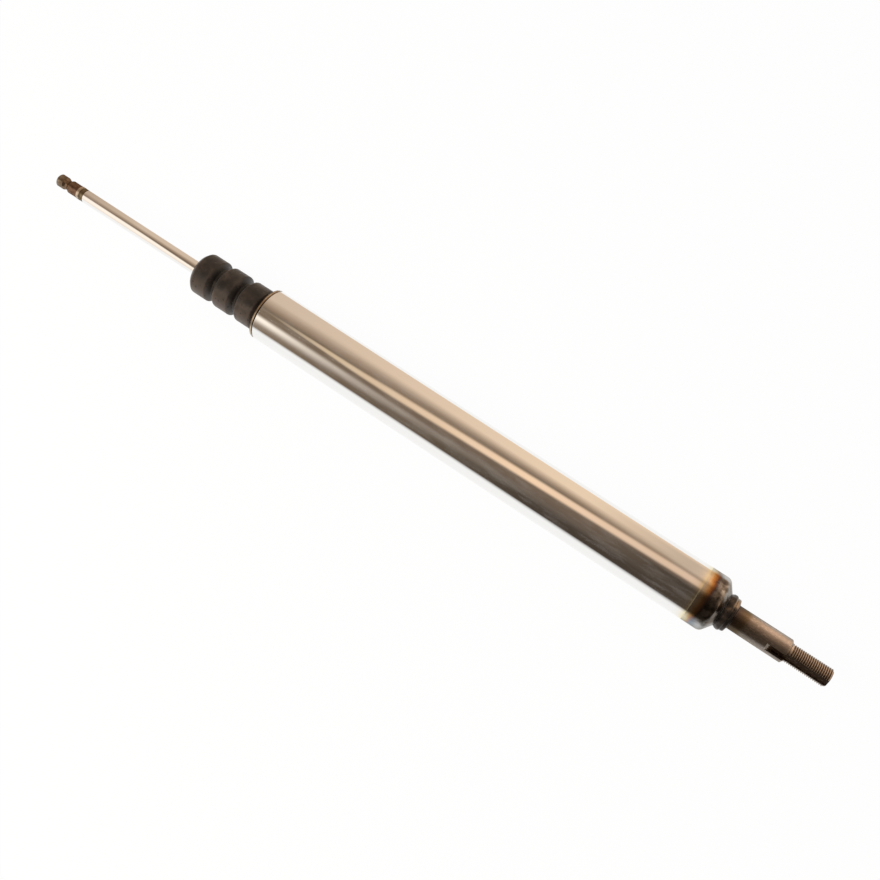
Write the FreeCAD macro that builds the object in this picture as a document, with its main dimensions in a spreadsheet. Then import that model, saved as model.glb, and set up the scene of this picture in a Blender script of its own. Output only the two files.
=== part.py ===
import FreeCAD, Part
import math
import os
import re

import Sketcher

# An inverted gas-pressure strut cartridge, lying along X with its threaded stud towards +X.
# The origin is on the axis, at the outer face of the weld collar where the stud's shank begins.
# All lengths are in millimetres and all angles in degrees.

SIZES = {
    # body tube
    "tube_diameter": 42,
    "tube_wall": 3,
    "tube_length": 376,
    "tube_edge_chamfer": 0.6,
    # end cap
    "cap_height": 20,
    "cap_step": 0.04,
    "cap_nose_diameter": 25.6,
    "cap_cone_height": 5.75,
    "cap_shoulder_radius": 5,
    "cap_spigot_length": 14,
    "cap_spigot_chamfer": 1,
    "cap_dish_diameter": 22,
    "cap_dish_depth": 18,
    "cap_dish_chamfer": 4,
    # top stud with the flash of its friction weld
    "flash_length": 8.1,
    "cap_roll_diameter": 27.8,
    "cap_roll_length": 4.9,
    "stud_roll_diameter": 25.8,
    "stud_roll_length": 1.9,
    "flash_crease_diameter": 24.6,
    "flash_crease_width": 0.8,
    "flash_edge_chamfer": 0.8,
    "flash_foot_diameter": 20,
    "shank_diameter": 18,
    "shank_length": 40.6,
    "shank_taper_length": 2,
    "thread_diameter": 14,
    "thread_length": 30.2,
    "thread_tip_chamfer": 1.5,
    "keyway_width": 5.5,
    "keyway_depth": 4,
    "keyway_start": 27.4,
    "keyway_cutter_radius": 7,
    "keyway_turn": 54,
    # end cover and wiper
    "cover_step": 0.2,
    "cover_flange": 2.5,
    "cover_spigot_length": 7,
    "cover_edge_chamfer": 0.5,
    "wiper_section": 3.5,
    "wiper_length": 4.4,
    "wiper_lip_length": 2.2,
    "wiper_lip_thickness": 0.9,
    "wiper_lip_lift": 0.6,
    "wiper_inset": 0.6,
    # rod guide and what it holds
    "circlip_thickness": 2,
    "circlip_depth": 1.4,
    "circlip_reach": 1.6,
    "circlip_gap_angle": 24,
    "seal_washer_thickness": 2,
    "guide_length": 24,
    "guide_edge_chamfer": 1,
    "guide_ring_place": 13,
    "o_ring_section": 2.4,
    "o_ring_groove_width": 3.2,
    "seal_section": 4.9,
    "seal_length": 7.6,
    "seal_cup_depth": 3.6,
    "seal_cup_width": 2,
    "seal_lip_thickness": 1.3,
    "load_ring_section": 1.9,
    "bush_wall": 1,
    "bush_length": 14,
    # piston rod
    "rod_diameter": 11,
    "rod_exposed": 218,
    "rod_head_diameter": 10.2,
    "rod_head_length": 6.6,
    "rod_head_chamfer": 0.8,
    "rod_waist_diameter": 8.2,
    "rod_waist_length": 1.8,
    "rod_waist_flank": 2.2,
    "rod_end_diameter": 10.6,
    "rod_end_length": 9.3,
    "rod_land_length": 2.5,
    "rod_recess_diameter": 10.7,
    "rod_recess_length": 4.4,
    "rod_edge_chamfer": 0.4,
    "rod_spigot_diameter": 8,
    "rod_thread_overrun": 1.5,
    # valve piston
    "bumper_diameter": 24,
    "bumper_length": 10,
    "bumper_chamfer": 2,
    "compression_washer_diameter": 20,
    "compression_washer_thickness": 3,
    "rebound_washer_diameter": 18,
    "rebound_washer_thickness": 2.5,
    "shim_thickness": 0.3,
    "shim_small_diameter": 16,
    "shim_large_diameter": 26,
    "shim_count": 4,
    "piston_length": 15,
    "piston_land_height": 1,
    "piston_hub_diameter": 13,
    "piston_seat_diameter": 25.6,
    "piston_seat_width": 1.4,
    "piston_band_place": 4.5,
    "piston_band_width": 6,
    "piston_band_thickness": 1.5,
    "port_count": 6,
    "port_diameter": 3.2,
    "port_inlet_inset": 3.1,
    "nut_flats": 13,
    "nut_height": 8,
    "nut_chamfer": 0.9,
    # floating piston
    "gas_length": 90,
    "floating_length": 20,
    "floating_web": 6,
    "floating_wall": 5.5,
    "floating_edge_chamfer": 1,
    "floating_ring_place": 4.5,
    "floating_band_place": 11,
    "floating_band_width": 5,
    "floating_band_thickness": 1.5,
    # bump stop
    "stop_diameter": 34,
    "stop_length": 64.5,
    "stop_groove_width": 8,
    "stop_groove_floor": 2,
    "stop_groove_depth": 4.5,
    "stop_inner_groove_place": 22.4,
    "stop_outer_groove_place": 44,
    "stop_nose_chamfer": 3,
    "stop_seat_chamfer": 4,
    "stop_bore_lead": 1.5,
    "stop_lobe_rounding": 2,
    # fits, all measured on the radius or along the axis
    "press_clearance": 0.02,
    "running_clearance": 0.04,
    "piston_clearance": 0.2,
    "rod_passage_clearance": 0.5,
    "stop_clearance": 0.1,
    "axial_clearance": 0.05,
    "contact_gap": 0.3,
}

# Places and radii that follow from the sizes. Places are along X from the origin, except that those
# ending in depth_in count inwards from the tube's open edge.
DERIVED = {
    "tube_radius": "tube_diameter / 2",
    "bore_radius": "tube_radius - tube_wall",
    "rod_radius": "rod_diameter / 2",
    "lip_radius": "rod_radius + running_clearance",
    "passage_radius": "rod_radius + rod_passage_clearance",
    "nose_place": "-flash_length",
    "cap_radius": "tube_radius - cap_step",
    "seam_place": "nose_place - cap_height",
    "tube_edge": "seam_place - tube_length",
    "cap_spigot_end": "seam_place - cap_spigot_length",
    "cover_face": "tube_edge - cover_flange",
    "cover_radius": "tube_radius - cover_step",
    "wiper_radius": "rod_radius + wiper_section",
    "circlip_depth_in": "cover_spigot_length + axial_clearance",
    "circlip_groove_width": "circlip_thickness + 2 * axial_clearance",
    "washer_depth_in": "circlip_depth_in + circlip_groove_width",
    "guide_depth_in": "washer_depth_in + seal_washer_thickness",
    "guide_inner_depth_in": "guide_depth_in + guide_length",
    "seal_radius": "rod_radius + seal_section",
    "seal_pocket": "seal_length + axial_clearance",
    "bush_radius": "lip_radius + bush_wall",
    "o_ring_floor": "bore_radius - o_ring_section - 2 * running_clearance",
    "rod_tip": "tube_edge - rod_exposed",
    "bumper_place": "tube_edge + guide_inner_depth_in + contact_gap",
    "rod_shoulder": "bumper_place + bumper_length",
    "compression_shims_place": "rod_shoulder + compression_washer_thickness",
    "shim_stack_length": "shim_count * (shim_thickness + press_clearance)",
    "piston_place": "compression_shims_place + shim_stack_length",
    "rebound_shims_place": "piston_place + piston_length",
    "rebound_washer_place": "rebound_shims_place + shim_stack_length",
    "nut_place": "rebound_washer_place + rebound_washer_thickness",
    "rod_inner_end": "nut_place + nut_height + rod_thread_overrun",
    "spigot_radius": "rod_spigot_diameter / 2",
    "spigot_bore": "spigot_radius + press_clearance",
    "piston_radius": "bore_radius - piston_clearance",
    "port_inlet_radius": "piston_radius - port_inlet_inset",
    "port_outlet_radius": "(piston_hub_diameter / 2 + piston_seat_diameter / 2 - piston_seat_width) / 2",
    "band_radius": "bore_radius - running_clearance",
    "floating_place": "cap_spigot_end - gas_length - floating_length",
    "stop_place": "cover_face - contact_gap - stop_length",
}


def bound(formula):
    """The formula with each size's name pointing at its cell, and each derived name written out."""
    def cell(match):
        word = match[0]
        if word in SIZES:
            return f"sizes.{word}"
        if word in DERIVED:
            return f"({bound(DERIVED[word])})"
        return word
    return re.sub(r"[a-z_]+", cell, formula)


doc = FreeCAD.newDocument("strut_cartridge")
sheet = doc.addObject("Spreadsheet::Sheet", "sizes")
for row, (alias, number) in enumerate(SIZES.items(), start=1):
    sheet.set(f"A{row}", alias)
    sheet.set(f"B{row}", str(number))
    sheet.setAlias(f"B{row}", alias)
doc.recompute()

pieces = []
SAME_EDGE = 1e-6  # an edge nearer than this to its worked-out place is that edge
QUARTER_TURN = math.pi / 2
X_AXIS = FreeCAD.Vector(1, 0, 0)
Y_AXIS = FreeCAD.Vector(0, 1, 0)
Z_AXIS = FreeCAD.Vector(0, 0, 1)


def value(formula):
    """What a formula comes to with the sheet's present numbers."""
    return float(sheet.evalExpression(bound(formula)))


def new_body(label, place):
    """An empty body whose own origin lies on the axis at the given place."""
    body = doc.addObject("PartDesign::Body", label)
    body.Label = label
    body.setExpression("Placement.Base.x", bound(place))
    pieces.append(body)
    return body


def attached_sketch(body, name, role):
    """An empty sketch on one of the body's own origin planes."""
    sketch = body.newObject("Sketcher::SketchObject", name)
    plane = next(feature for feature in body.Origin.OriginFeatures if feature.Role == role)
    sketch.AttachmentSupport = [(plane, "")]
    sketch.MapMode = "FlatFace"
    return sketch


def hold(sketch, kind, geometry, point, formula):
    """Bind a point's distance from the sketch's origin to a formula."""
    constraint = Sketcher.Constraint(kind, -1, 1, geometry, point, value(formula))
    sketch.setExpression(f"Constraints[{sketch.addConstraint(constraint)}]", bound(formula))


def outline(body, name, role, corners):
    """A closed outline of straight runs, each corner held by two formulas."""
    sketch = attached_sketch(body, name, role)
    points = [FreeCAD.Vector(value(across), value(up), 0) for across, up in corners]
    for start, end in zip(points, points[1:] + points[:1]):
        sketch.addGeometry(Part.LineSegment(start, end))
    for index, (across, up) in enumerate(corners):
        before = (index - 1) % len(corners)
        sketch.addConstraint(Sketcher.Constraint("Coincident", before, 2, index, 1))
        hold(sketch, "DistanceX", index, 1, across)
        hold(sketch, "DistanceY", index, 1, up)
    return sketch


def turned(label, place, corners):
    """A body turned about X from an outline of (distance along the axis, radius) corners."""
    body = new_body(label, place)
    sketch = outline(body, f"{label}_profile", "XZ_Plane", corners)
    turning = body.newObject("PartDesign::Revolution", f"{label}_turning")
    turning.Profile = sketch
    turning.ReferenceAxis = (sketch, ["H_Axis"])
    doc.recompute()
    return body


def ring(label, place, inner, outer, length):
    """A plain turned ring."""
    return turned(label, place, [("0", inner), ("0", outer), (length, outer), (length, inner)])


def cut_away(feature):
    """Rebuild with a cutting feature last in its body, and insist that it took material away."""
    before = feature.BaseFeature.Shape.Volume
    doc.recompute()
    if feature.Shape.Volume >= before:
        raise RuntimeError(f"{feature.Name} cuts nothing")


def turned_groove(body, name, start, width, floor, mouth):
    """A square groove turned about X, between two radii."""
    end = f"{start} + {width}"
    corners = [(start, floor), (start, mouth), (end, mouth), (end, floor)]
    sketch = outline(body, f"{name}_profile", "XZ_Plane", corners)
    groove = body.newObject("PartDesign::Groove", name)
    groove.Profile = sketch
    groove.ReferenceAxis = (sketch, ["H_Axis"])
    cut_away(groove)


def circles_at(shape, places):
    """The names of the circular edges at the given (distance along, radius) places."""
    wanted = [(value(along), value(radius)) for along, radius in places]
    names = []
    for number, edge in enumerate(shape.Edges, start=1):
        if not isinstance(edge.Curve, Part.Circle):
            continue
        for along, radius in wanted:
            off = abs(edge.Curve.Center.x - along) + abs(edge.Curve.Radius - radius)
            if off < SAME_EDGE:
                names.append(f"Edge{number}")
    if len(names) != len(wanted):
        raise RuntimeError(f"{len(names)} edges found for {len(wanted)} places")
    return names


def dress(body, kind, name, size, places):
    """A fillet or a chamfer on the circular edges at the given places."""
    base = body.Tip
    edges = circles_at(base.Shape, places)
    feature = body.newObject(f"PartDesign::{kind}", name)
    feature.Base = (base, edges)
    feature.setExpression("Radius" if kind == "Fillet" else "Size", bound(size))
    doc.recompute()


def rubber_ring(label, middle, inner, section):
    """A sealing ring about X whose round section is pressed to an octagon by its groove."""
    corner = f"{section} * (1 - 1 / sqrt(2))"
    far = f"{section} - {corner}"
    turned(label, f"{middle} - {section} / 2", [
        (corner, inner),
        ("0", f"{inner} + {corner}"),
        ("0", f"{inner} + {far}"),
        (corner, f"{inner} + {section}"),
        (far, f"{inner} + {section}"),
        (section, f"{inner} + {far}"),
        (section, f"{inner} + {corner}"),
        (far, inner),
    ])


# Body tube: drawn steel, ground and hard-chromed outside, honed inside
tube = turned("body_tube", "tube_edge", [
    ("0", "bore_radius"),
    ("0", "tube_radius"),
    ("tube_length", "tube_radius"),
    ("tube_length", "bore_radius"),
])
dress(tube, "Chamfer", "tube_edges", "tube_edge_chamfer", [("0", "tube_radius"), ("0", "bore_radius")])
turned_groove(
    tube, "circlip_groove", "circlip_depth_in", "circlip_groove_width",
    "bore_radius - circlip_reach", "bore_radius + circlip_depth",
)

# End cap: turned steel plug with a coned shoulder, welded into the tube
cap_seam = "cap_spigot_length"
cap_nose = "cap_spigot_length + cap_height"
cap_spigot_radius = "bore_radius - press_clearance"
cap_corner = ("cap_spigot_length + cap_height - cap_cone_height", "cap_radius")
cap = turned("end_cap", "cap_spigot_end", [
    ("0", "cap_dish_diameter / 2"),
    ("0", cap_spigot_radius),
    (cap_seam, cap_spigot_radius),
    (cap_seam, "cap_radius"),
    cap_corner,
    (cap_nose, "cap_nose_diameter / 2"),
    (cap_nose, "0"),
    ("cap_dish_depth", "0"),
    ("cap_dish_depth", "cap_dish_diameter / 2"),
])
dress(cap, "Fillet", "cap_shoulder", "cap_shoulder_radius", [cap_corner])
dress(cap, "Chamfer", "cap_dish_corner", "cap_dish_chamfer", [("cap_dish_depth", "cap_dish_diameter / 2")])
dress(cap, "Chamfer", "cap_lead", "cap_spigot_chamfer", [("0", cap_spigot_radius)])

# Top stud: turned steel, friction-welded to the cap's nose, with two rolls of flash at the weld
roll_end = ("cap_roll_length", "cap_roll_diameter / 2")
stud_roll_start = ("cap_roll_length + flash_crease_width", "stud_roll_diameter / 2")
stud_roll_end = ("cap_roll_length + flash_crease_width + stud_roll_length", "stud_roll_diameter / 2")
taper_start = "flash_length + shank_length"
taper_end = "flash_length + shank_length + shank_taper_length"
stud_end = "flash_length + shank_length + shank_taper_length + thread_length"
stud = turned("top_stud", "nose_place", [
    ("0", "0"),
    ("0", "cap_roll_diameter / 2"),
    roll_end,
    ("cap_roll_length + flash_crease_width / 2", "flash_crease_diameter / 2"),
    stud_roll_start,
    stud_roll_end,
    ("flash_length", "flash_foot_diameter / 2"),
    ("flash_length", "shank_diameter / 2"),
    (taper_start, "shank_diameter / 2"),
    (taper_end, "thread_diameter / 2"),
    (stud_end, "thread_diameter / 2"),
    (stud_end, "0"),
])
dress(stud, "Chamfer", "flash_rolls", "flash_edge_chamfer", [
    ("0", "cap_roll_diameter / 2"),
    roll_end,
    stud_roll_end,
])
dress(stud, "Chamfer", "thread_tip", "thread_tip_chamfer", [(stud_end, "thread_diameter / 2")])

# The keyway is milled with a small disc cutter, which leaves a short, steep run-out in the shank
keyway_floor = "shank_diameter / 2 - keyway_depth"
cutter_height = f"{keyway_floor} + keyway_cutter_radius"
runout_length = "sqrt(2 * keyway_cutter_radius * keyway_depth - keyway_depth ^ 2)"
cutter_place = f"flash_length + keyway_start + {runout_length}"
keyway_end = f"{stud_end} + keyway_depth"
keyway = attached_sketch(stud, "keyway_profile", "XZ_Plane")
cutter_centre = FreeCAD.Vector(value(cutter_place), value(cutter_height), 0)
floor_start = FreeCAD.Vector(value(cutter_place), value(keyway_floor), 0)
floor_end = FreeCAD.Vector(value(keyway_end), value(keyway_floor), 0)
top_end = FreeCAD.Vector(value(keyway_end), value(cutter_height), 0)
top_start = FreeCAD.Vector(value(cutter_place) - value("keyway_cutter_radius"), value(cutter_height), 0)
cutter = Part.Circle(cutter_centre, Z_AXIS, value("keyway_cutter_radius"))
keyway.addGeometry(Part.ArcOfCircle(cutter, 2 * QUARTER_TURN, 3 * QUARTER_TURN))
for start, end in ((floor_start, floor_end), (floor_end, top_end), (top_end, top_start)):
    keyway.addGeometry(Part.LineSegment(start, end))
ARC, FLOOR, END, TOP = range(4)
for first, second in ((ARC, FLOOR), (FLOOR, END), (END, TOP), (TOP, ARC)):
    keyway.addConstraint(Sketcher.Constraint("Coincident", first, 2, second, 1))
for kind, line in (("Horizontal", FLOOR), ("Vertical", END), ("Horizontal", TOP)):
    keyway.addConstraint(Sketcher.Constraint(kind, line))
keyway.addConstraint(Sketcher.Constraint("Vertical", ARC, 2, ARC, 3))
keyway.addConstraint(Sketcher.Constraint("Horizontal", ARC, 1, ARC, 3))
hold(keyway, "DistanceX", ARC, 3, cutter_place)
hold(keyway, "DistanceY", ARC, 3, cutter_height)
hold(keyway, "DistanceY", FLOOR, 1, keyway_floor)
hold(keyway, "DistanceX", END, 1, keyway_end)
keyway_cut = stud.newObject("PartDesign::Pocket", "keyway")
keyway_cut.Profile = keyway
keyway_cut.SideType = "Symmetric"
keyway_cut.setExpression("Length", bound("keyway_width"))
cut_away(keyway_cut)
stud.Placement.Rotation = FreeCAD.Rotation(X_AXIS, value("keyway_turn"))
stud.setExpression("Placement.Rotation.Angle", bound("keyway_turn"))

# End cover: turned steel, pressed into the open end of the tube, and struck by the bump stop
cover_spigot_radius = "bore_radius - press_clearance"
cover_inner_end = "cover_flange + cover_spigot_length"
wiper_pocket = "wiper_inset + wiper_length + axial_clearance"
cover = turned("end_cover", "cover_face", [
    ("0", "wiper_radius"),
    ("0", "cover_radius"),
    ("cover_flange", "cover_radius"),
    ("cover_flange", cover_spigot_radius),
    (cover_inner_end, cover_spigot_radius),
    (cover_inner_end, "passage_radius"),
    (wiper_pocket, "passage_radius"),
    (wiper_pocket, "wiper_radius"),
])
dress(cover, "Chamfer", "cover_edges", "cover_edge_chamfer", [
    ("0", "cover_radius"),
    ("cover_flange", "cover_radius"),
    (cover_inner_end, cover_spigot_radius),
])

# Wiper seal: moulded rubber with one scraping lip that points outwards
wiper_body = "lip_radius + wiper_lip_lift"
turned("wiper_seal", "cover_face + wiper_inset", [
    ("0", "lip_radius"),
    ("0", "lip_radius + wiper_lip_thickness"),
    ("wiper_lip_length", f"{wiper_body} + wiper_lip_thickness"),
    ("wiper_lip_length", "wiper_radius - press_clearance"),
    ("wiper_length", "wiper_radius - press_clearance"),
    ("wiper_length", wiper_body),
    ("wiper_lip_length", wiper_body),
])

# Circlip: a split flat-wire ring in the tube's groove, which holds the guide against the gas
circlip = ring(
    "guide_circlip", "tube_edge + circlip_depth_in + axial_clearance",
    "bore_radius - circlip_reach", "bore_radius + circlip_depth - running_clearance", "circlip_thickness",
)
circlip.Tip.setExpression("Angle", bound("360 - circlip_gap_angle"))

# Seal washer: flat steel ring that backs the rod seal
ring(
    "seal_washer", "tube_edge + washer_depth_in",
    "passage_radius", "bore_radius - running_clearance", "seal_washer_thickness",
)

# Rod guide: turned aluminium, with a pocket for the seal outside and one for the bush inside
guide_radius = "bore_radius - running_clearance"
bush_pocket = "guide_length - bush_length - axial_clearance"
guide = turned("rod_guide", "tube_edge + guide_depth_in", [
    ("0", "seal_radius"),
    ("0", guide_radius),
    ("guide_length", guide_radius),
    ("guide_length", "bush_radius"),
    (bush_pocket, "bush_radius"),
    (bush_pocket, "passage_radius"),
    ("seal_pocket", "passage_radius"),
    ("seal_pocket", "seal_radius"),
])
dress(guide, "Chamfer", "guide_edges", "guide_edge_chamfer", [
    ("0", guide_radius),
    ("guide_length", guide_radius),
])
turned_groove(
    guide, "guide_ring_groove", "guide_ring_place", "o_ring_groove_width",
    "o_ring_floor", "bore_radius",
)

# Guide bush: split bronze-backed bearing with a slippery lining
ring(
    "guide_bush", "tube_edge + guide_inner_depth_in - bush_length",
    "lip_radius", "bush_radius - press_clearance", "bush_length",
)

# O-ring between the guide and the tube
o_ring_inner = "o_ring_floor + running_clearance"
rubber_ring(
    "guide_o_ring", "tube_edge + guide_depth_in + guide_ring_place + o_ring_groove_width / 2",
    o_ring_inner, "o_ring_section",
)

# Rod seal: a rubber cup that opens towards the oil, with a load ring that presses its lips apart
seal_outer = "seal_radius - press_clearance"
cup_inner = "lip_radius + seal_lip_thickness"
cup_outer = "lip_radius + seal_lip_thickness + seal_cup_width"
cup_floor = "seal_length - seal_cup_depth"
turned("rod_seal", "tube_edge + guide_depth_in", [
    ("0", "lip_radius"),
    ("0", seal_outer),
    ("seal_length", seal_outer),
    ("seal_length", cup_outer),
    (cup_floor, cup_outer),
    (cup_floor, cup_inner),
    ("seal_length", cup_inner),
    ("seal_length", "lip_radius"),
])
rubber_ring(
    "seal_load_ring",
    f"tube_edge + guide_depth_in + {cup_floor} + axial_clearance + load_ring_section / 2",
    "lip_radius + seal_lip_thickness + (seal_cup_width - load_ring_section) / 2", "load_ring_section",
)

# Piston rod: ground and hard-chromed steel bar, turned down at both ends
waist_start = "rod_head_length"
waist_floor_start = "rod_head_length + rod_waist_flank"
waist_floor_end = "rod_head_length + rod_waist_flank + rod_waist_length"
waist_end = "rod_head_length + 2 * rod_waist_flank + rod_waist_length"
land_start = f"{waist_end} + rod_end_length"
recess_start = f"{land_start} + rod_land_length"
plating_start = f"{recess_start} + rod_recess_length"
shoulder = "rod_shoulder - rod_tip"
inner_end = "rod_inner_end - rod_tip"
rod = turned("piston_rod", "rod_tip", [
    ("0", "0"),
    ("0", "rod_head_diameter / 2"),
    (waist_start, "rod_head_diameter / 2"),
    (waist_floor_start, "rod_waist_diameter / 2"),
    (waist_floor_end, "rod_waist_diameter / 2"),
    (waist_end, "rod_end_diameter / 2"),
    (land_start, "rod_end_diameter / 2"),
    (land_start, "rod_radius"),
    (recess_start, "rod_radius"),
    (recess_start, "rod_recess_diameter / 2"),
    (plating_start, "rod_recess_diameter / 2"),
    (plating_start, "rod_radius"),
    (shoulder, "rod_radius"),
    (shoulder, "spigot_radius"),
    (inner_end, "spigot_radius"),
    (inner_end, "0"),
])
dress(rod, "Chamfer", "rod_head_edge", "rod_head_chamfer", [("0", "rod_head_diameter / 2")])
dress(rod, "Chamfer", "rod_inner_edge", "rod_edge_chamfer", [(inner_end, "spigot_radius")])

# Rebound bumper: rubber ring on the rod that meets the guide at full extension
bumper_radius = "bumper_diameter / 2"
bumper = ring("rebound_bumper", "bumper_place", "lip_radius", bumper_radius, "bumper_length")
dress(bumper, "Chamfer", "bumper_edges", "bumper_chamfer", [
    ("0", bumper_radius),
    ("bumper_length", bumper_radius),
])

# Stop washers: hard rings that the shims bend against
ring(
    "compression_washer", "rod_shoulder",
    "spigot_bore", "compression_washer_diameter / 2", "compression_washer_thickness",
)
ring(
    "rebound_washer", "rebound_washer_place",
    "spigot_bore", "rebound_washer_diameter / 2", "rebound_washer_thickness",
)


def shim_stack(label, place, widest_first):
    """A stack of separate spring-steel discs whose diameters step evenly from one end to the other."""
    discs = []
    count = int(value("shim_count"))
    for index in range(count):
        rank = count - 1 - index if widest_first else index
        step = f"{rank} * (shim_large_diameter - shim_small_diameter) / (shim_count - 1)"
        disc = doc.addObject("Part::Cylinder", f"{label}_disc_{index}")
        disc.setExpression("Radius", bound(f"(shim_small_diameter + {step}) / 2"))
        hole = doc.addObject("Part::Cylinder", f"{label}_hole_{index}")
        hole.setExpression("Radius", bound("spigot_bore"))
        at = f"{place} + {index} * (shim_thickness + press_clearance) + press_clearance / 2"
        for blank in (disc, hole):
            blank.setExpression("Height", bound("shim_thickness"))
            blank.Placement.Rotation = FreeCAD.Rotation(Z_AXIS, X_AXIS)
            blank.setExpression("Placement.Base.x", bound(at))
        shim = doc.addObject("Part::Cut", f"{label}_shim_{index}")
        shim.Base = disc
        shim.Tool = hole
        discs.append(shim)
    stack = doc.addObject("Part::Compound", label)
    stack.Label = label
    stack.Links = discs
    pieces.append(stack)


shim_stack("compression_shims", "compression_shims_place", widest_first=False)
shim_stack("rebound_shims", "rebound_shims_place", widest_first=True)

# Valve piston: sintered iron. On each face a hub and a ring seat carry the shims, and between them
# lies the outlet channel of one set of ports. The inlets of the other set open outside the seat.
land = "piston_land_height"
far_land = "piston_length - piston_land_height"
hub = "piston_hub_diameter / 2"
seat_outer = "piston_seat_diameter / 2"
seat_inner = "piston_seat_diameter / 2 - piston_seat_width"
piston = turned("piston", "piston_place", [
    ("0", "spigot_bore"),
    ("0", hub),
    (land, hub),
    (land, seat_inner),
    ("0", seat_inner),
    ("0", seat_outer),
    (land, seat_outer),
    (land, "piston_radius"),
    (far_land, "piston_radius"),
    (far_land, seat_outer),
    ("piston_length", seat_outer),
    ("piston_length", seat_inner),
    (far_land, seat_inner),
    (far_land, hub),
    ("piston_length", hub),
    ("piston_length", "spigot_bore"),
])
turned_groove(
    piston, "piston_band_groove", "piston_band_place", "piston_band_width",
    "band_radius - piston_band_thickness", "bore_radius",
)


def port_set(name, rod_side_radius, nut_side_radius, turn):
    """A ring of slanting ports, each drilled from one face's inlet to the other face's outlet channel.

    The drill's axis rises from one radius to the other over the piston's length, and it starts and
    ends one such length outside the piston.
    """
    rise = f"({nut_side_radius} - {rod_side_radius})"
    slope = f"90 - atan({rise} / piston_length) / 1 deg"
    axes = piston.newObject("PartDesign::CoordinateSystem", f"{name}_port_axes")
    axes.Placement.Rotation = FreeCAD.Rotation(X_AXIS, value("180 / port_count"))
    axes.setExpression("Placement.Rotation.Angle", bound(turn))
    doc.recompute()
    port = piston.newObject("PartDesign::SubtractiveCylinder", f"{name}_port")
    port.AttachmentSupport = [(axes, "")]
    port.MapMode = "ObjectXY"
    port.AttachmentOffset = FreeCAD.Placement(FreeCAD.Vector(), FreeCAD.Rotation(Y_AXIS, value(slope)))
    port.setExpression("AttachmentOffset.Base.x", bound("-piston_length"))
    port.setExpression("AttachmentOffset.Base.z", bound(f"{rod_side_radius} - {rise}"))
    port.setExpression("AttachmentOffset.Rotation.Angle", bound(slope))
    port.setExpression("Radius", bound("port_diameter / 2"))
    through = f"sqrt(piston_length ^ 2 + {rise} ^ 2)"
    port.setExpression("Height", bound(f"{through} + 2 * {through}"))
    cut_away(port)
    ports = piston.newObject("PartDesign::PolarPattern", f"{name}_ports")
    ports.Originals = [port]
    axis = next(feature for feature in piston.Origin.OriginFeatures if feature.Role == "X_Axis")
    ports.Axis = (axis, [""])
    ports.Angle = 360
    ports.setExpression("Occurrences", bound("port_count"))
    piston.Tip = ports
    doc.recompute()


port_set("compression", "port_outlet_radius", "port_inlet_radius", "0")
port_set("rebound", "port_inlet_radius", "port_outlet_radius", "180 / port_count")

# Piston band: filled plastic ring that runs in the tube's bore
ring(
    "piston_band", "piston_place + piston_band_place + axial_clearance",
    "band_radius - piston_band_thickness + press_clearance", "band_radius",
    "piston_band_width - 2 * axial_clearance",
)

# Piston nut: hexagon nut that clamps the washers, shims and piston against the rod's shoulder
nut = new_body("piston_nut", "nut_place")
NUT_SIDES = 6
corner_radius = f"nut_flats / 2 / cos(180 deg / {NUT_SIDES})"
hexagon = [
    (f"{corner_radius} * cos({turn} deg)", f"{corner_radius} * sin({turn} deg)")
    for turn in range(0, 360, 360 // NUT_SIDES)
]
nut_blank = nut.newObject("PartDesign::Pad", "nut_blank")
nut_blank.Profile = outline(nut, "nut_hexagon", "YZ_Plane", hexagon)
nut_blank.setExpression("Length", bound("nut_height"))
doc.recompute()
turned_groove(nut, "nut_bore", "0", "nut_height", "0", "spigot_bore")
chamfer_start = "nut_height - nut_chamfer"
nut_corners = outline(nut, "nut_corner_profile", "XZ_Plane", [
    (chamfer_start, corner_radius),
    ("nut_height", corner_radius),
    ("nut_height", "nut_flats / 2"),
])
nut_corner_cut = nut.newObject("PartDesign::Groove", "nut_corners")
nut_corner_cut.Profile = nut_corners
nut_corner_cut.ReferenceAxis = (nut_corners, ["H_Axis"])
cut_away(nut_corner_cut)

# Floating piston: aluminium cup between the oil and the gas, open towards the gas
floating_radius = "bore_radius - piston_clearance"
cup_radius = "bore_radius - piston_clearance - floating_wall"
floating = turned("floating_piston", "floating_place", [
    ("0", "0"),
    ("0", floating_radius),
    ("floating_length", floating_radius),
    ("floating_length", cup_radius),
    ("floating_web", cup_radius),
    ("floating_web", "0"),
])
dress(floating, "Chamfer", "floating_edges", "floating_edge_chamfer", [
    ("0", floating_radius),
    ("floating_length", floating_radius),
])
turned_groove(
    floating, "floating_ring_groove", "floating_ring_place", "o_ring_groove_width",
    "o_ring_floor", "bore_radius",
)
turned_groove(
    floating, "floating_band_groove", "floating_band_place", "floating_band_width",
    "band_radius - floating_band_thickness", "bore_radius",
)
rubber_ring(
    "floating_piston_o_ring", "floating_place + floating_ring_place + o_ring_groove_width / 2",
    o_ring_inner, "o_ring_section",
)
ring(
    "floating_piston_band", "floating_place + floating_band_place + axial_clearance",
    "band_radius - floating_band_thickness + press_clearance", "band_radius",
    "floating_band_width - 2 * axial_clearance",
)

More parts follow.
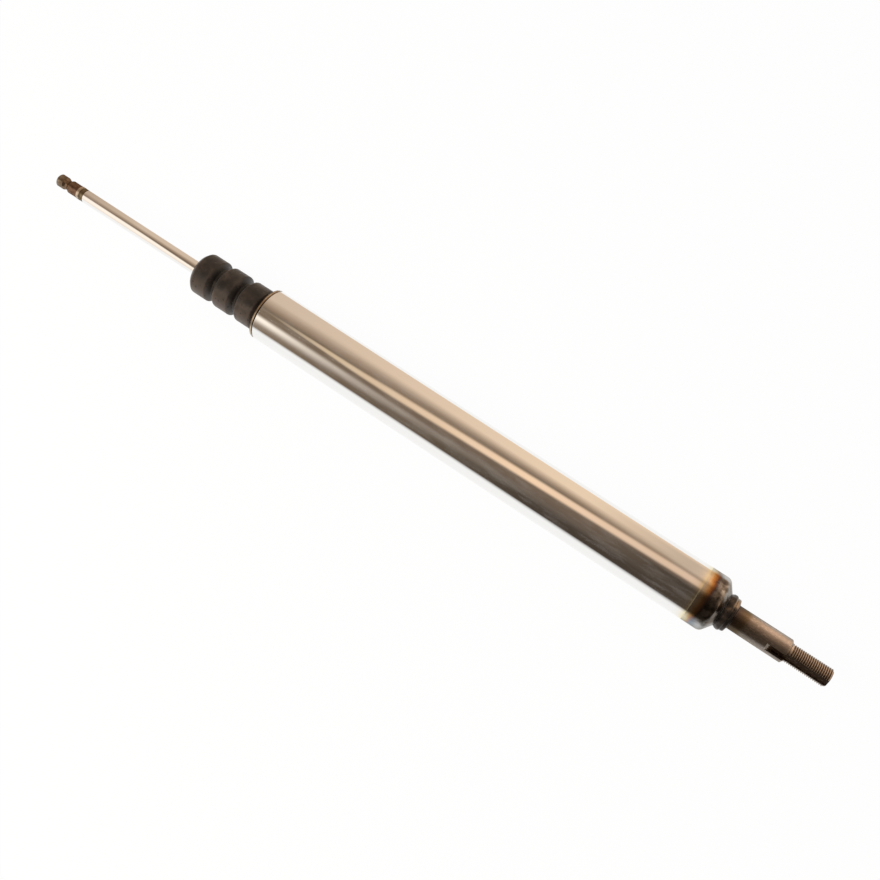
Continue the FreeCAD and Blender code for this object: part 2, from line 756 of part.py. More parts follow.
# Bump stop: moulded foam sleeve on the rod, with three lobes that fold together when it is crushed
stop_radius = "stop_diameter / 2"
stop_bore = "rod_radius + stop_clearance"
groove_radius = "stop_diameter / 2 - stop_groove_depth"
lobe_edges = []
groove_corners = []
for groove_place in ("stop_outer_groove_place", "stop_inner_groove_place"):
    middle = f"stop_length - {groove_place}"
    mouth_start = (f"{middle} - stop_groove_width / 2", stop_radius)
    mouth_end = (f"{middle} + stop_groove_width / 2", stop_radius)
    lobe_edges += [mouth_start, mouth_end]
    groove_corners += [
        mouth_start,
        (f"{middle} - stop_groove_floor / 2", groove_radius),
        (f"{middle} + stop_groove_floor / 2", groove_radius),
        mouth_end,
    ]
nose_edge = ("stop_nose_chamfer", stop_radius)
seat_edge = ("stop_length - stop_seat_chamfer", stop_radius)
stop = turned("bump_stop", "stop_place", [
    ("stop_bore_lead", stop_bore),
    ("0", f"{stop_bore} + stop_bore_lead"),
    ("0", "stop_diameter / 2 - stop_nose_chamfer"),
    nose_edge,
    *groove_corners,
    seat_edge,
    ("stop_length", "stop_diameter / 2 - stop_seat_chamfer"),
    ("stop_length", stop_bore),
])
dress(stop, "Fillet", "stop_lobes", "stop_lobe_rounding", [nose_edge, *lobe_edges])

doc.recompute()
for item in doc.Objects:
    if "Invalid" in item.State or "Error" in item.State:
        raise RuntimeError(f"{item.Name} failed: {item.State}")
for piece in pieces:
    if piece.Shape.isNull() or not piece.Shape.isValid():
        raise RuntimeError(f"{piece.Label} has no valid shape")

os.makedirs("parts", exist_ok=True)
for piece in pieces:
    piece.Shape.exportStep(os.path.join("parts", f"{piece.Label}.step"))
    print(f"{piece.Label}: {len(piece.Shape.Solids)} solid, {piece.Shape.Volume:.0f} cubic millimetres")
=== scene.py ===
import math

import bmesh
import bpy
import numpy as np
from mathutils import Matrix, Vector


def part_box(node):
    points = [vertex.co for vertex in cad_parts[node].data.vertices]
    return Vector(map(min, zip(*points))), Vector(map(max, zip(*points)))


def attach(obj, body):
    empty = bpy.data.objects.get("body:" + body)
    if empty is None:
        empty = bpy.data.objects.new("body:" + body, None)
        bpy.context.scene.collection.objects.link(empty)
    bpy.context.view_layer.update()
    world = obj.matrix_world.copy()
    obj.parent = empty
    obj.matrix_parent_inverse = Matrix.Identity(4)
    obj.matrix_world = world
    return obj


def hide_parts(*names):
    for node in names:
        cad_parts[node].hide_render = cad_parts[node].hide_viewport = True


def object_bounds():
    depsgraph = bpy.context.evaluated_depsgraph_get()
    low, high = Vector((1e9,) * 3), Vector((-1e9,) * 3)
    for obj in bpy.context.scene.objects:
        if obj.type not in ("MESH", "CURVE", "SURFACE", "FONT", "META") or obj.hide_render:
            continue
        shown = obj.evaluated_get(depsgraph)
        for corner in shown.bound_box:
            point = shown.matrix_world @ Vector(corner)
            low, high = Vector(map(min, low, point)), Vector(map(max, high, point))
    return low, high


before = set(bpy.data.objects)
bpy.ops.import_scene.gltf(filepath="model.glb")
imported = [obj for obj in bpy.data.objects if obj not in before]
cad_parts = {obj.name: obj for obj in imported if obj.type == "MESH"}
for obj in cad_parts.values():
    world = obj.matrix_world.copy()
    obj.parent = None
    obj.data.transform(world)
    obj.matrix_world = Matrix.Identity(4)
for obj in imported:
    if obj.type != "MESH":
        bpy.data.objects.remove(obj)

cad_low, cad_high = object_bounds()
scene = bpy.context.scene

# Body tube. Drawn steel, honed inside, ground outside and hard-chromed, because it slides in the bushes of
# the strut. Its open edge is broken inside and out, and a groove in the bore takes the circlip. The cap is
# welded to the other end.

MM = 0.001  # sizes are written in millimetres, and the frame is in metres
COLUMNS = 192  # points once round a turned surface


def rounded(corners, steps=6):
    """A profile's points, from corners of (place along X, radius, rounding) with the outside on their left.

    Each corner becomes an arc: the normal swings evenly from that of the run before to that of the run after,
    and the point stands off the corner by the rounding times that normal less the corner's mitre. One more
    point before and after each arc, no further off than the rounding, keeps the shading of the runs flat.
    """
    corners = np.array(corners, float)
    corner = corners[:, None, :2]
    rounding = corners[:, 2]
    run = np.roll(corners[:, :2], -1, axis=0) - corners[:, :2]
    length = np.linalg.norm(run, axis=1)
    along = run / length[:, None]
    after = np.arctan2(run[:, 0], -run[:, 1])
    before = np.roll(after, 1)
    bend = (after - before + np.pi) % (2 * np.pi) - np.pi
    angle = before[:, None] + bend[:, None] * np.linspace(0, 1, steps)
    normal = np.stack([np.cos(angle), np.sin(angle)], axis=2)
    mitre = (normal[:, :1] + normal[:, -1:]) / (1 + np.cos(bend))[:, None, None]
    arc = corner - (np.sign(bend) * rounding)[:, None, None] * (normal - mitre)
    reach = rounding * np.tan(np.abs(bend) / 2)
    spare = length - reach - np.roll(reach, -1)
    lead = np.minimum(0.4, spare / 4)
    back = np.minimum(np.roll(lead, 1), rounding)[:, None]
    lead_in = arc[:, :1] - (np.roll(along, 1, axis=0) * back)[:, None]
    ahead = np.minimum(lead, rounding)[:, None]
    lead_out = arc[:, -1:] + (along * ahead)[:, None]
    return np.concatenate([lead_in, arc, lead_out], axis=1).reshape(-1, 2)


def solid_profile(corners, steps=6):
    """The profile of a solid piece, whose first and last corners lie on the axis and stay sharp."""
    return rounded(corners, steps)[steps:-steps]


def turned(profile):
    """A turned surface: each point of the profile goes once round X and makes one row of the grid."""
    angle = np.arange(COLUMNS) * 2 * np.pi / COLUMNS
    x = np.repeat(profile[:, :1], COLUMNS, axis=1)
    return np.stack([x, -profile[:, 1:] * np.sin(angle), profile[:, 1:] * np.cos(angle)], axis=2)


def make_object(name, grid, faces):
    """A smooth object from a grid of points in millimetres and its faces."""
    mesh = bpy.data.meshes.new(name)
    mesh.from_pydata((grid.reshape(-1, 3) * MM).tolist(), [], faces.reshape(-1, 4).tolist())
    mesh.shade_smooth()
    made = bpy.data.objects.new(name, mesh)
    scene.collection.objects.link(made)
    return made


def make_piece(name, grid, ring=False):
    """An object from a grid in millimetres: faces join each row to the next, and the columns close round.

    A ring's last row joins its first. Points that coincide, such as a pole's, are merged.
    """
    index = np.arange(grid.shape[0] * grid.shape[1]).reshape(grid.shape[:2])
    if ring:
        index = np.concatenate([index, index[:1]])
    beside = np.roll(index, -1, axis=1)
    made = make_object(name, grid, np.stack([index[:-1], beside[:-1], beside[1:], index[1:]], axis=2))
    shell = bmesh.new()
    shell.from_mesh(made.data)
    bmesh.ops.remove_doubles(shell, verts=shell.verts, dist=1e-7)
    shell.to_mesh(made.data)
    shell.free()
    return made


def linear(shade):
    """The linear colour of an sRGB hex value: a straight foot, and above it the standard power curve."""
    value = np.array([int(shade[place : place + 2], 16) for place in (1, 3, 5)]) / 255
    value = np.where(value <= 0.04045, value / 12.92, ((value + 0.055) / 1.055) ** 2.4)
    return (*value.tolist(), 1.0)


def plug(node, inputs):
    """Sets a node's inputs, given as a list in the order of its open sockets or as a dict by their names.

    A node among them is linked from its first open output, an output from itself, and the rest are values.
    """
    sockets = [socket for socket in node.inputs if socket.enabled]
    for key, value in inputs.items() if isinstance(inputs, dict) else enumerate(inputs):
        socket = node.inputs[key] if isinstance(key, str) else sockets[key]
        if isinstance(value, bpy.types.Node):
            value = next(output for output in value.outputs if output.enabled)
        if isinstance(value, bpy.types.NodeSocket):
            node.id_data.links.new(value, socket)
        else:
            socket.default_value = value


def add(tree, kind, inputs=(), stops=(), **settings):
    """Adds a node with its settings and links; stops are a colour ramp's places and shades.

    MapRange takes its value, the two ends that are mapped, and what they are mapped to.
    """
    node = tree.nodes.new("ShaderNode" + kind)
    for name, value in settings.items():
        setattr(node, name, value)
    plug(node, inputs)
    for number, (place, shade) in enumerate(stops):
        if number >= len(node.color_ramp.elements):
            node.color_ramp.elements.new(1.0)
        node.color_ramp.elements[number].position = place
        node.color_ramp.elements[number].color = linear(shade)
    return node


def new_material(name):
    """A material with its node tree, its shader and its Object coordinates, which are the frame's metres."""
    material = bpy.data.materials.new(name)
    material.use_nodes = True
    tree = material.node_tree
    place = add(tree, "TexCoord").outputs["Object"]
    return material, tree, tree.nodes["Principled BSDF"], place


def streaks(tree, place, length, width, detail, roughness=0.5):
    """Noise that is drawn out along X, in spots about that long and that wide."""
    drawn_out = add(tree, "Mapping", {"Vector": place, "Scale": (1 / length, 1 / width, 1 / width)})
    return add(tree, "TexNoise", [drawn_out, 1.0, detail, roughness])


tube_low, tube_high = [np.array(corner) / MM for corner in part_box("body_tube")]
tube_end, tube_radius = tube_low[0], tube_high[2]
tube_bore, tube_lead = 18.0, 0.6
groove_from, groove_to, groove_radius = 7.05, 9.15, 19.4
tube_profile = rounded([
    (tube_end, tube_bore + tube_lead, 0.1),
    (tube_end, tube_radius - tube_lead, 0.15),
    (tube_end + tube_lead, tube_radius, 0.2),
    (tube_high[0], tube_radius, 0.03),
    (tube_high[0], tube_bore, 0.1),
    (tube_end + groove_to, tube_bore, 0.05),
    (tube_end + groove_to, groove_radius, 0.05),
    (tube_end + groove_from, groove_radius, 0.05),
    (tube_end + groove_from, tube_bore, 0.05),
    (tube_end + tube_lead, tube_bore, 0.1),
])
tube = make_piece("chromed_tube", turned(tube_profile), ring=True)

# Hard chrome over ground steel: a cool mirror with a little haze, faint wipe marks along the tube and fine
# lines left by the bushes. The heat of the cap's weld leaves a breath of straw on the last few millimetres.
chrome, tree, shader, place = new_material("hard_chrome_ground")
wipe_length, wipe_width = 60 * MM, 9 * MM
wipe = streaks(tree, place, wipe_length, wipe_width, 4.0, 0.6)
haze = add(tree, "MapRange", [wipe, 0.3, 0.7, 0.05, 0.085])
# A thin film of dried oil, wiped along the tube, shows as pale smears where the chrome mirrors dark things.
smear_length, smear_width = 22 * MM, 3.2 * MM
smear = streaks(tree, place, smear_length, smear_width, 3.0, 0.6)
bare = add(tree, "MapRange", [smear, 0.45, 0.68, 1.0, 0.95])
# The bushes' lines are some hundredths of a millimetre apart, and are drawn 0.5 mm apart to show.
line_length, line_width = 90 * MM, 0.5 * MM
line = streaks(tree, place, line_length, line_width, 2.0)
polish = add(tree, "Bump", {"Height": line, "Distance": 0.002 * MM, "Strength": 0.5})
x = add(tree, "SeparateXYZ", [place]).outputs["X"]
tint_from, tint_to = -36 * MM, -28.1 * MM
tint_place = add(tree, "MapRange", [x, tint_from, tint_to])
tint = add(tree, "ValToRGB", [tint_place], [
    (0.0, "#f3f2f0"), (0.55, "#f2eee6"), (0.85, "#efe6cc"), (1.0, "#e8d9b0"),
])
# The weld's run at the cap was ground flush and shows as a thin dull line.
seam_from, seam_to = (tube_high[0] - 0.75) * MM, (tube_high[0] - 0.45) * MM
seam = add(tree, "MapRange", [x, seam_from, seam_to, 1.0, 0.91])
metal = add(tree, "Math", [bare, seam], operation="MINIMUM")
# Oil and dirt lie in the joint with the cover.
crevice_end, crevice_clear = 0.3 * MM, 0.7 * MM
from_joint = add(tree, "Math", [x, tube_end * MM], operation="SUBTRACT")
joint_near = add(tree, "Math", [from_joint], operation="ABSOLUTE")
joint_soil = add(tree, "MapRange", [joint_near, crevice_end, crevice_clear, 0.85, 0.0])
soiled = add(tree, "Mix", [joint_soil, tint, linear("#4a3420")], data_type="RGBA")
plug(shader, {"Base Color": soiled, "Roughness": haze, "Normal": polish, "Metallic": metal})
tube.data.materials.append(chrome)
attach(tube, "cylinder")
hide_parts("body_tube")

# End cap. A turned steel plug with a rounded shoulder and a coned nose, pushed into the tube and welded round
# the seam, with the stud friction-welded to its nose. The heat of both welds has coloured it.

cap_low, cap_high = [np.array(corner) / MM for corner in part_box("end_cap")]
cap_seam, cap_radius = tube_high[0], cap_high[2]
cap_nose_radius, cap_cone_height = 12.8, 5.75
cap_spigot, spigot_lead = 17.98, 1.0
cap_edge = cap_high[0] - cap_cone_height
dish_radius, dish_depth, dish_edge = 11.0, 18.0, 4.0
cap_profile = solid_profile([
    (cap_low[0] + dish_depth, 0.0, 0.0),
    (cap_low[0] + dish_depth, dish_radius - dish_edge, 0.5),
    (cap_low[0] + dish_depth - dish_edge, dish_radius, 0.5),
    (cap_low[0], dish_radius, 0.2),
    (cap_low[0], cap_spigot - spigot_lead, 0.2),
    (cap_low[0] + spigot_lead, cap_spigot, 0.2),
    (cap_seam, cap_spigot, 0.1),
    (cap_seam, cap_radius, 0.03),
    (cap_edge, cap_radius, 5.0),
    (cap_high[0], cap_nose_radius, 0.4),
    (cap_high[0], 0.0, 0.0),
], steps=12)
cap = make_piece("welded_end_cap", turned(cap_profile))


def tool_marks(tree, along, feed, depth, strength):
    """The bump of a turning tool's ridges: a sine wave of that measure, one wave to each feed."""
    wave = add(tree, "Math", [along, 2 * math.pi / feed], operation="MULTIPLY")
    ridges = add(tree, "Math", [wave], operation="SINE")
    return add(tree, "Bump", {"Height": ridges, "Distance": depth, "Strength": strength})


# Steel coloured by heat: a turned satin surface under a thin oxide, straw next to the seam, then gold, brown,
# purple and blue, and grey scale near the nose. The bands wander by a millimetre, as the heat did.
heat_tint, tree, shader, place = new_material("heat_tinted_steel_turned")
edge_tint = linear("#cbc6c1")  # oxide and oil keep bare steel from mirroring fully even at a grazing view
wander_size, fleck_size = 5 * MM, 1.1 * MM
wander = add(tree, "TexNoise", [place, 1 / wander_size, 2.0])
fleck = add(tree, "TexNoise", [place, 1 / fleck_size, 3.0, 0.65])
x = add(tree, "SeparateXYZ", [place]).outputs["X"]
shift = add(tree, "MapRange", [wander, 0.0, 1.0, -1.2 * MM, 1.2 * MM])
jitter = add(tree, "MapRange", [fleck, 0.0, 1.0, -0.7 * MM, 0.7 * MM])
radial = add(tree, "VectorMath", [place, (0.0, 1.0, 1.0)], operation="MULTIPLY")
outward = add(tree, "VectorMath", [radial], operation="NORMALIZE")
near_side = (0.0, -0.945, -0.327)
to_near = add(tree, "VectorMath", [outward, near_side], operation="DOT_PRODUCT")
bent = add(tree, "Math", [to_near, to_near], operation="MULTIPLY")
slant = add(tree, "Math", [to_near, 0.4 * MM], operation="MULTIPLY")
bulge = add(tree, "Math", [bent, 1.6 * MM, slant], operation="MULTIPLY_ADD")
wandered = add(tree, "Math", [x, shift], operation="ADD")
shifted = add(tree, "Math", [wandered, bulge], operation="ADD")
jittered = add(tree, "Math", [shifted, jitter], operation="ADD")
band_from, band_to = -30 * MM, -8 * MM
band_place = add(tree, "MapRange", [jittered, band_from, band_to])
oxide = add(tree, "ValToRGB", [band_place], [
    (0.086, "#d6d0bf"), (0.227, "#d0b184"), (0.300, "#b8844c"), (0.365, "#946338"), (0.420, "#6a4a3a"),
    (0.455, "#5c5458"), (0.500, "#7c7873"), (0.740, "#a8a49e"),
])
# Painted reflection: paler copies of the oxide bands on the near and far rims stand for the glare seen there.
near_rim_glare_oxide = add(tree, "ValToRGB", [band_place], [
    (0.086, "#eeebdf"), (0.270, "#d6ccaa"), (0.330, "#c4aa92"), (0.385, "#a89ca2"), (0.430, "#95a2ae"),
    (0.660, "#bcbfc0"),
])
far_rim_glare_oxide = add(tree, "ValToRGB", [band_place], [
    (0.086, "#ece8da"), (0.270, "#d0c4a6"), (0.350, "#a8968a"), (0.430, "#b4b0ac"), (0.600, "#e0dfde"),
])
on_far_glare_rim = add(tree, "MapRange", [to_near, -0.84, -0.96])
on_near_glare_rim = add(tree, "MapRange", [to_near, 0.68, 0.92])
far_glare_banded = add(tree, "Mix", [on_far_glare_rim, oxide, far_rim_glare_oxide], data_type="RGBA")
glare_banded = add(tree, "Mix", [on_near_glare_rim, far_glare_banded, near_rim_glare_oxide], data_type="RGBA")
# Painted shade: the crown and near side are mixed toward a dark grey, more toward the nose, and a dark patch
# lies on the far shoulder.
cone_reach = add(tree, "MapRange", [x, -16.5 * MM, -13.5 * MM, 0.0, 0.27])
dark_side_reach = add(tree, "Math", [to_near, cone_reach], operation="ADD")
dark_side_start = add(tree, "MapRange", [dark_side_reach, -0.35, 0.0])
dark_side_end = add(tree, "MapRange", [to_near, 0.85, 0.66])
dark_side_along = add(tree, "MapRange", [x, -27 * MM, -12 * MM, 0.35, 0.8])
dark_side_band = add(tree, "Math", [dark_side_start, dark_side_end], operation="MULTIPLY")
painted_shade_share = add(tree, "Math", [dark_side_band, dark_side_along], operation="MULTIPLY")
patch_middle = (-17.2 * MM, 11.1 * MM, 17.8 * MM)
from_patch = add(tree, "VectorMath", [place, patch_middle], operation="DISTANCE")
patch_share = add(tree, "MapRange", [from_patch, 2.0 * MM, 3.6 * MM, 0.75, 0.0])
painted_shade_and_patch = add(tree, "Math", [painted_shade_share, patch_share], operation="MAXIMUM")
shade_painted = add(tree, "Mix", [painted_shade_and_patch, glare_banded, linear("#625951")], data_type="RGBA")
from_crown = add(tree, "Math", [to_near], operation="ABSOLUTE")
scale_size = 4.5 * MM
scale = add(tree, "TexNoise", [place, 1 / scale_size, 2.5])
dirt = add(tree, "ValToRGB", [scale], [(0.34, "#8a847c"), (0.46, "#c8c3bc"), (0.56, "#ffffff")])
scale_from, scale_to = -22.0 * MM, -19.5 * MM
# Painted reflection over real scale: the scale thins toward the near and far rims, which keeps them lighter.
scale_thinned_at_rims = add(tree, "MapRange", [from_crown, 0.62, 0.92, 0.9, 0.2])
scaled = add(tree, "MapRange", [shifted, scale_from, scale_to, 0.0, scale_thinned_at_rims])
mottled = add(tree, "Mix", [scaled, shade_painted, dirt], data_type="RGBA", blend_type="MULTIPLY")
satin = add(tree, "MapRange", [scale, 0.3, 0.7, 0.24, 0.14])
# The tool's feed was about 0.1 mm a turn, and is drawn at 0.45 mm.
feed = 0.45 * MM
turning = tool_marks(tree, x, feed, depth=0.006 * MM, strength=0.6)
crust = add(tree, "Bump", {"Height": fleck, "Distance": 0.02 * MM, "Strength": 0.5, "Normal": turning})
# Grey dust of the weld lies at the foot of the cone.
dusted = add(tree, "MapRange", [x, -11 * MM, -8.2 * MM, 1.0, 0.7])
plug(shader, {
    "Base Color": mottled, "Roughness": satin, "Normal": crust, "Metallic": dusted,
    "Specular Tint": edge_tint,
})
cap.data.materials.append(heat_tint)
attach(cap, "cylinder")
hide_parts("end_cap")

# Top stud. A turned steel bar, friction-welded to the cap, so that the squeezed-out metal stands round its
# root in two rolls. Its end has a fine rolled thread, and a slotting cutter has milled the keyway through it
# to the shank.

stud_low, stud_high = [np.array(corner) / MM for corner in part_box("top_stud")]
shank_radius, thread_radius = 9.0, 7.0
shank_end, thread_start, tip = 40.6, 42.6, stud_high[0]
thread_pitch, thread_depth = 1.5, 0.9
slot_turn = math.radians(54)
slot_half, slot_floor, slot_mouth, cutter_radius = 2.75, 5.0, 27.4, 7.0
stud_profile = solid_profile([
    (stud_low[0], 0.0, 0.0),
    (stud_low[0], 12.7, 0.3),
    (-6.2, 13.65, 2.5),
    (-4.2, 13.85, 1.5),
    (-3.1, 13.2, 0.6),
    (-2.8, 12.4, 0.2),
    (-2.4, 12.8, 0.4),
    (-0.6, 12.7, 1.0),
    (0.0, 10.2, 0.6),
    (0.4, shank_radius, 0.8),
    (shank_end, shank_radius, 0.3),
    (thread_start, thread_radius, 0.3),
    (tip - 1.5, thread_radius, 0.2),
    (tip, thread_radius - 1.5, 0.2),
    (tip, 0.0, 0.0),
], steps=9)


def with_rows(profile, *rows):
    """The profile with extra points on its runs: places along X become lengths along it to interpolate."""
    length = np.concatenate([[0.0], np.cumsum(np.linalg.norm(np.diff(profile, axis=0), axis=1))])
    straight = np.concatenate([np.interp(places, profile[:, 0], length) for places in rows])
    every = np.unique(np.concatenate([length, straight]).round(5))
    return np.stack([np.interp(every, length, measure) for measure in profile.T], axis=1)


def smooth_step(value, start, end):
    """0 before start and 1 after end, with an eased rise between: 3 times the square less twice the cube."""
    share = np.clip((value - start) / (end - start), 0, 1)
    return share * share * (3 - 2 * share)


def keyed_thread(profile):
    """The stud's surface, row by row along its profile, round from one keyway edge to the other and across.

    A thread row shifts along X by the pitch times its share of a turn, so that crests and roots follow rows
    of the grid; the radius drops by the depth times a rounded triangle wave of the place over the pitch.
    Across the keyway the columns go down one wall, over the floor and up the other. The floor rises along the
    cutter's circle at its mouth. The weld's rolls swell with the angle as three sine waves and lean as one.
    """
    place, radius = profile[:, :1], profile[:, 1:]
    inside = smooth_step(place, thread_start - 0.6, thread_start + 1.5)
    inside = inside * (1 - smooth_step(place, tip - 1.2, tip - 0.4))
    wave = np.abs((place / thread_pitch) % 1 * 2 - 1)
    groove = thread_radius - thread_depth * smooth_step(wave, 0.08, 0.92) * inside
    radius = np.where(inside > 0, np.minimum(radius, groove), radius)
    edge = np.arcsin(slot_half / np.maximum(radius, thread_radius - 1.5))
    rise = np.linspace(0, 1, 5)
    cross = np.concatenate([np.ones(4), np.linspace(1, -1, 9)[1:-1], -np.ones(4)])
    wall = np.concatenate([rise[-2::-1], np.zeros(7), rise[:-1]])
    arc_turn = edge + (2 * np.pi - 2 * edge) * np.linspace(0, 1, 168)
    turn = np.concatenate([arc_turn, 2 * np.pi - edge * cross], axis=1)
    weld = (1 - smooth_step(place, -0.8, 0.1)) * (radius > shank_radius)
    swell = 0.10 * np.sin(3 * turn + 0.8 * place) + 0.06 * np.sin(7 * turn + 1)
    swell = swell + 0.04 * np.sin(13 * turn + place)
    lean = 0.22 * np.sin(2 * turn + 0.6) * smooth_step(place, stud_low[0] + 0.8, stud_low[0] + 3)
    swollen = radius + weld * (swell - 0.2)
    arc = arc_turn.shape[1]
    shift = thread_pitch * (0.5 - arc_turn / (2 * np.pi)) * inside
    slot_shift = -thread_pitch * (0.5 - edge / (2 * np.pi)) * cross * inside
    x = place + weld * lean + np.concatenate([shift, slot_shift], axis=1)
    side = swollen * np.sin(turn)
    up = swollen * np.cos(turn)
    side[:, arc:] = -swollen[:, arc:] * np.sin(edge) * cross
    surface = np.sqrt(swollen[:, arc:] ** 2 - side[:, arc:] ** 2)
    run_out = math.sqrt(cutter_radius**2 - (cutter_radius - shank_radius + slot_floor) ** 2)
    before_floor = np.clip(slot_mouth + run_out - x[:, arc:], 0, run_out)
    floor = slot_floor + cutter_radius - np.sqrt(cutter_radius**2 - before_floor**2)
    floor = np.where(x[:, arc:] < slot_mouth, surface, np.minimum(floor, surface))
    up[:, arc:] = floor + wall * (surface - floor)
    y = -up * math.sin(slot_turn) + side * math.cos(slot_turn)
    z = up * math.cos(slot_turn) + side * math.sin(slot_turn)
    return np.stack([x, y, z], axis=2)


run_out_rows = slot_mouth + np.arange(-0.2, 7, 0.2)
shank_rows = np.concatenate([np.arange(1, 27, 1.5), run_out_rows, np.arange(35, shank_end, 0.5)])
thread_rows = np.arange(thread_start - 0.6, tip - 0.4, thread_pitch / 10)
stud = make_piece("threaded_stud", keyed_thread(with_rows(stud_profile, shank_rows, thread_rows)))
stud.data.set_sharp_from_angle(angle=math.radians(34))

# Weld scale: steel that was squeezed out red hot, so it is rough, brown-black and dull. A tan patch on the
# outer roll's far side is partly rubbing and partly a painted highlight.
weld_scale, tree, shader, place = new_material("weld_scale_steel")
bloom_size, grit_size = 4 * MM, 0.7 * MM
bloom = add(tree, "TexNoise", [place, 1 / bloom_size, 3.0])
grit = add(tree, "TexNoise", [place, 1 / grit_size, 4.0, 0.7])
rust = add(tree, "ValToRGB", [bloom], [(0.34, "#332d29"), (0.52, "#423a34"), (0.66, "#5c4e43")])
x, y = add(tree, "SeparateXYZ", [place]).outputs[:2]
# Painted highlight, partly rubbed scale: a tan patch on the far side of the outer roll.
second_roll = add(tree, "MapRange", [x, -4.2 * MM, -3.5 * MM])
far_side_highlight = add(tree, "MapRange", [y, 0.3 * MM, 3.0 * MM])
tan_patch = add(tree, "MapRange", [bloom, 0.35, 0.5, 0.4, 1.0])
highlight_part = add(tree, "Math", [second_roll, far_side_highlight], operation="MULTIPLY")
painted_highlight_share = add(tree, "Math", [highlight_part, tan_patch], operation="MULTIPLY")
rubbed = add(tree, "Mix", [painted_highlight_share, rust, linear("#93806a")], data_type="RGBA")
dull = add(tree, "MapRange", [grit, 0.0, 1.0, 0.22, 0.36])
rough = add(tree, "Bump", {"Height": grit, "Distance": 0.03 * MM, "Strength": 0.5})
plug(shader, {"Base Color": rubbed, "Roughness": dull, "Normal": rough, "Metallic": 0.75})

# Oiled steel, browned by the weld's heat: dark at the root, then brown, and paler further out, satin from the
# turning tool. The thread's roots and the keyway are darkened, partly dirt and partly painted shade, so the
# crests stand out lighter.
browned, tree, shader, place = new_material("browned_steel_turned")
x = add(tree, "SeparateXYZ", [place]).outputs["X"]
cloud_size, speck_size = 6 * MM, 0.9 * MM
cloud = add(tree, "TexNoise", [place, 1 / cloud_size, 4.0, 0.6])
speck = add(tree, "TexNoise", [place, 1 / speck_size, 3.0, 0.6])
shift = add(tree, "MapRange", [cloud, 0.0, 1.0, -3 * MM, 3 * MM])
shifted = add(tree, "Math", [x, shift], operation="ADD")
brown_place = add(tree, "MapRange", [shifted, 0.0, tip * MM])
brown = add(tree, "ValToRGB", [brown_place], [
    (0.00, "#5a4f49"), (0.10, "#766650"), (0.15, "#978c80"), (0.36, "#b0a69d"), (0.55, "#a89f96"),
    (0.61, "#ccc0b4"),
])
across_axis = add(tree, "VectorMath", [place, (0.0, 1.0, 1.0)], operation="MULTIPLY")
radius = add(tree, "VectorMath", [across_axis], operation="LENGTH")
root_radius, crest_radius = (thread_radius - thread_depth) * MM, thread_radius * MM
# Painted shade with some dirt: the deeper below the crests, the darker, in the roots and in the keyway.
root_to_crest = add(tree, "MapRange", [radius, root_radius, crest_radius])
root_dirt_and_shade = add(tree, "ValToRGB", [root_to_crest], [(0.0, "#8a8078"), (0.5, "#c8c1ba"), (0.85, "#ffffff")])
soiled = add(tree, "Mix", [1.0, brown, root_dirt_and_shade], data_type="RGBA", blend_type="MULTIPLY")
# Short bright rubs from handling lie along the stud.
rub_length, rub_width = 2.2 * MM, 0.45 * MM
rub = streaks(tree, place, rub_length, rub_width, 2.0)
rub_most = add(tree, "MapRange", [x, 6 * MM, 14 * MM, 0.0, 0.45])
rub_share = add(tree, "MapRange", [rub, 0.54, 0.7, 0.0, rub_most])
rubbed = add(tree, "Mix", [rub_share, soiled, linear("#f2e4d6")], data_type="RGBA")
# Painted highlight: where the keyway runs out, a pale, less metallic strip across the slot stands for the
# glint of the cutter's lip.
slot_out = (0.0, -math.sin(slot_turn), math.cos(slot_turn))
slot_aside = (0.0, math.cos(slot_turn), math.sin(slot_turn))
lip_from, lip_to, lip_fade = (slot_mouth - 0.4) * MM, (slot_mouth + 1.4) * MM, 0.5 * MM
slot_up = add(tree, "VectorMath", [place, slot_out], operation="DOT_PRODUCT")
slot_side = add(tree, "VectorMath", [place, slot_aside], operation="DOT_PRODUCT")
slot_off = add(tree, "Math", [slot_side], operation="ABSOLUTE")
in_slot = add(tree, "Math", [slot_off, slot_half * MM], operation="LESS_THAN")
slot_near = add(tree, "Math", [slot_up, 0.0], operation="GREATER_THAN")
past_lip = add(tree, "MapRange", [x, lip_from, lip_from + lip_fade])
before_lip = add(tree, "MapRange", [x, lip_to + lip_fade, lip_to])
lip_along = add(tree, "Math", [past_lip, before_lip], operation="MULTIPLY")
lip_round = add(tree, "Math", [in_slot, slot_near], operation="MULTIPLY")
lip_glint = add(tree, "Math", [lip_along, lip_round], operation="MULTIPLY")
glint_painted = add(tree, "Mix", [lip_glint, rubbed, linear("#cbbfb2")], data_type="RGBA")
glint_metal = add(tree, "MapRange", [lip_glint, 0.0, 1.0, 1.0, 0.4])
satin = add(tree, "MapRange", [speck, 0.3, 0.7, 0.28, 0.38])
feed = 0.5 * MM  # the tool's feed was about 0.15 mm a turn, and is drawn at 0.5 mm
turning = tool_marks(tree, x, feed, depth=0.008 * MM, strength=0.5)
pitted = add(tree, "Bump", {"Height": speck, "Distance": 0.03 * MM, "Strength": 0.5, "Normal": turning})
plug(shader, {
    "Base Color": glint_painted, "Roughness": satin, "Normal": pitted, "Metallic": glint_metal,
    "Specular Tint": edge_tint,
})


def paint_beyond(painted, place, number):
    """Gives faces whose middle has a smaller X than that place that material, and the rest the first one."""
    centres = np.empty(len(painted.data.polygons) * 3)
    painted.data.polygons.foreach_get("center", centres)
    chosen = np.where(centres[::3] < place * MM, number, 0)
    painted.data.polygons.foreach_set("material_index", chosen.astype(np.int32))


stud.data.materials.append(browned)
stud.data.materials.append(weld_scale)
paint_beyond(stud, 0.1, 1)
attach(stud, "cylinder")
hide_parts("top_stud")

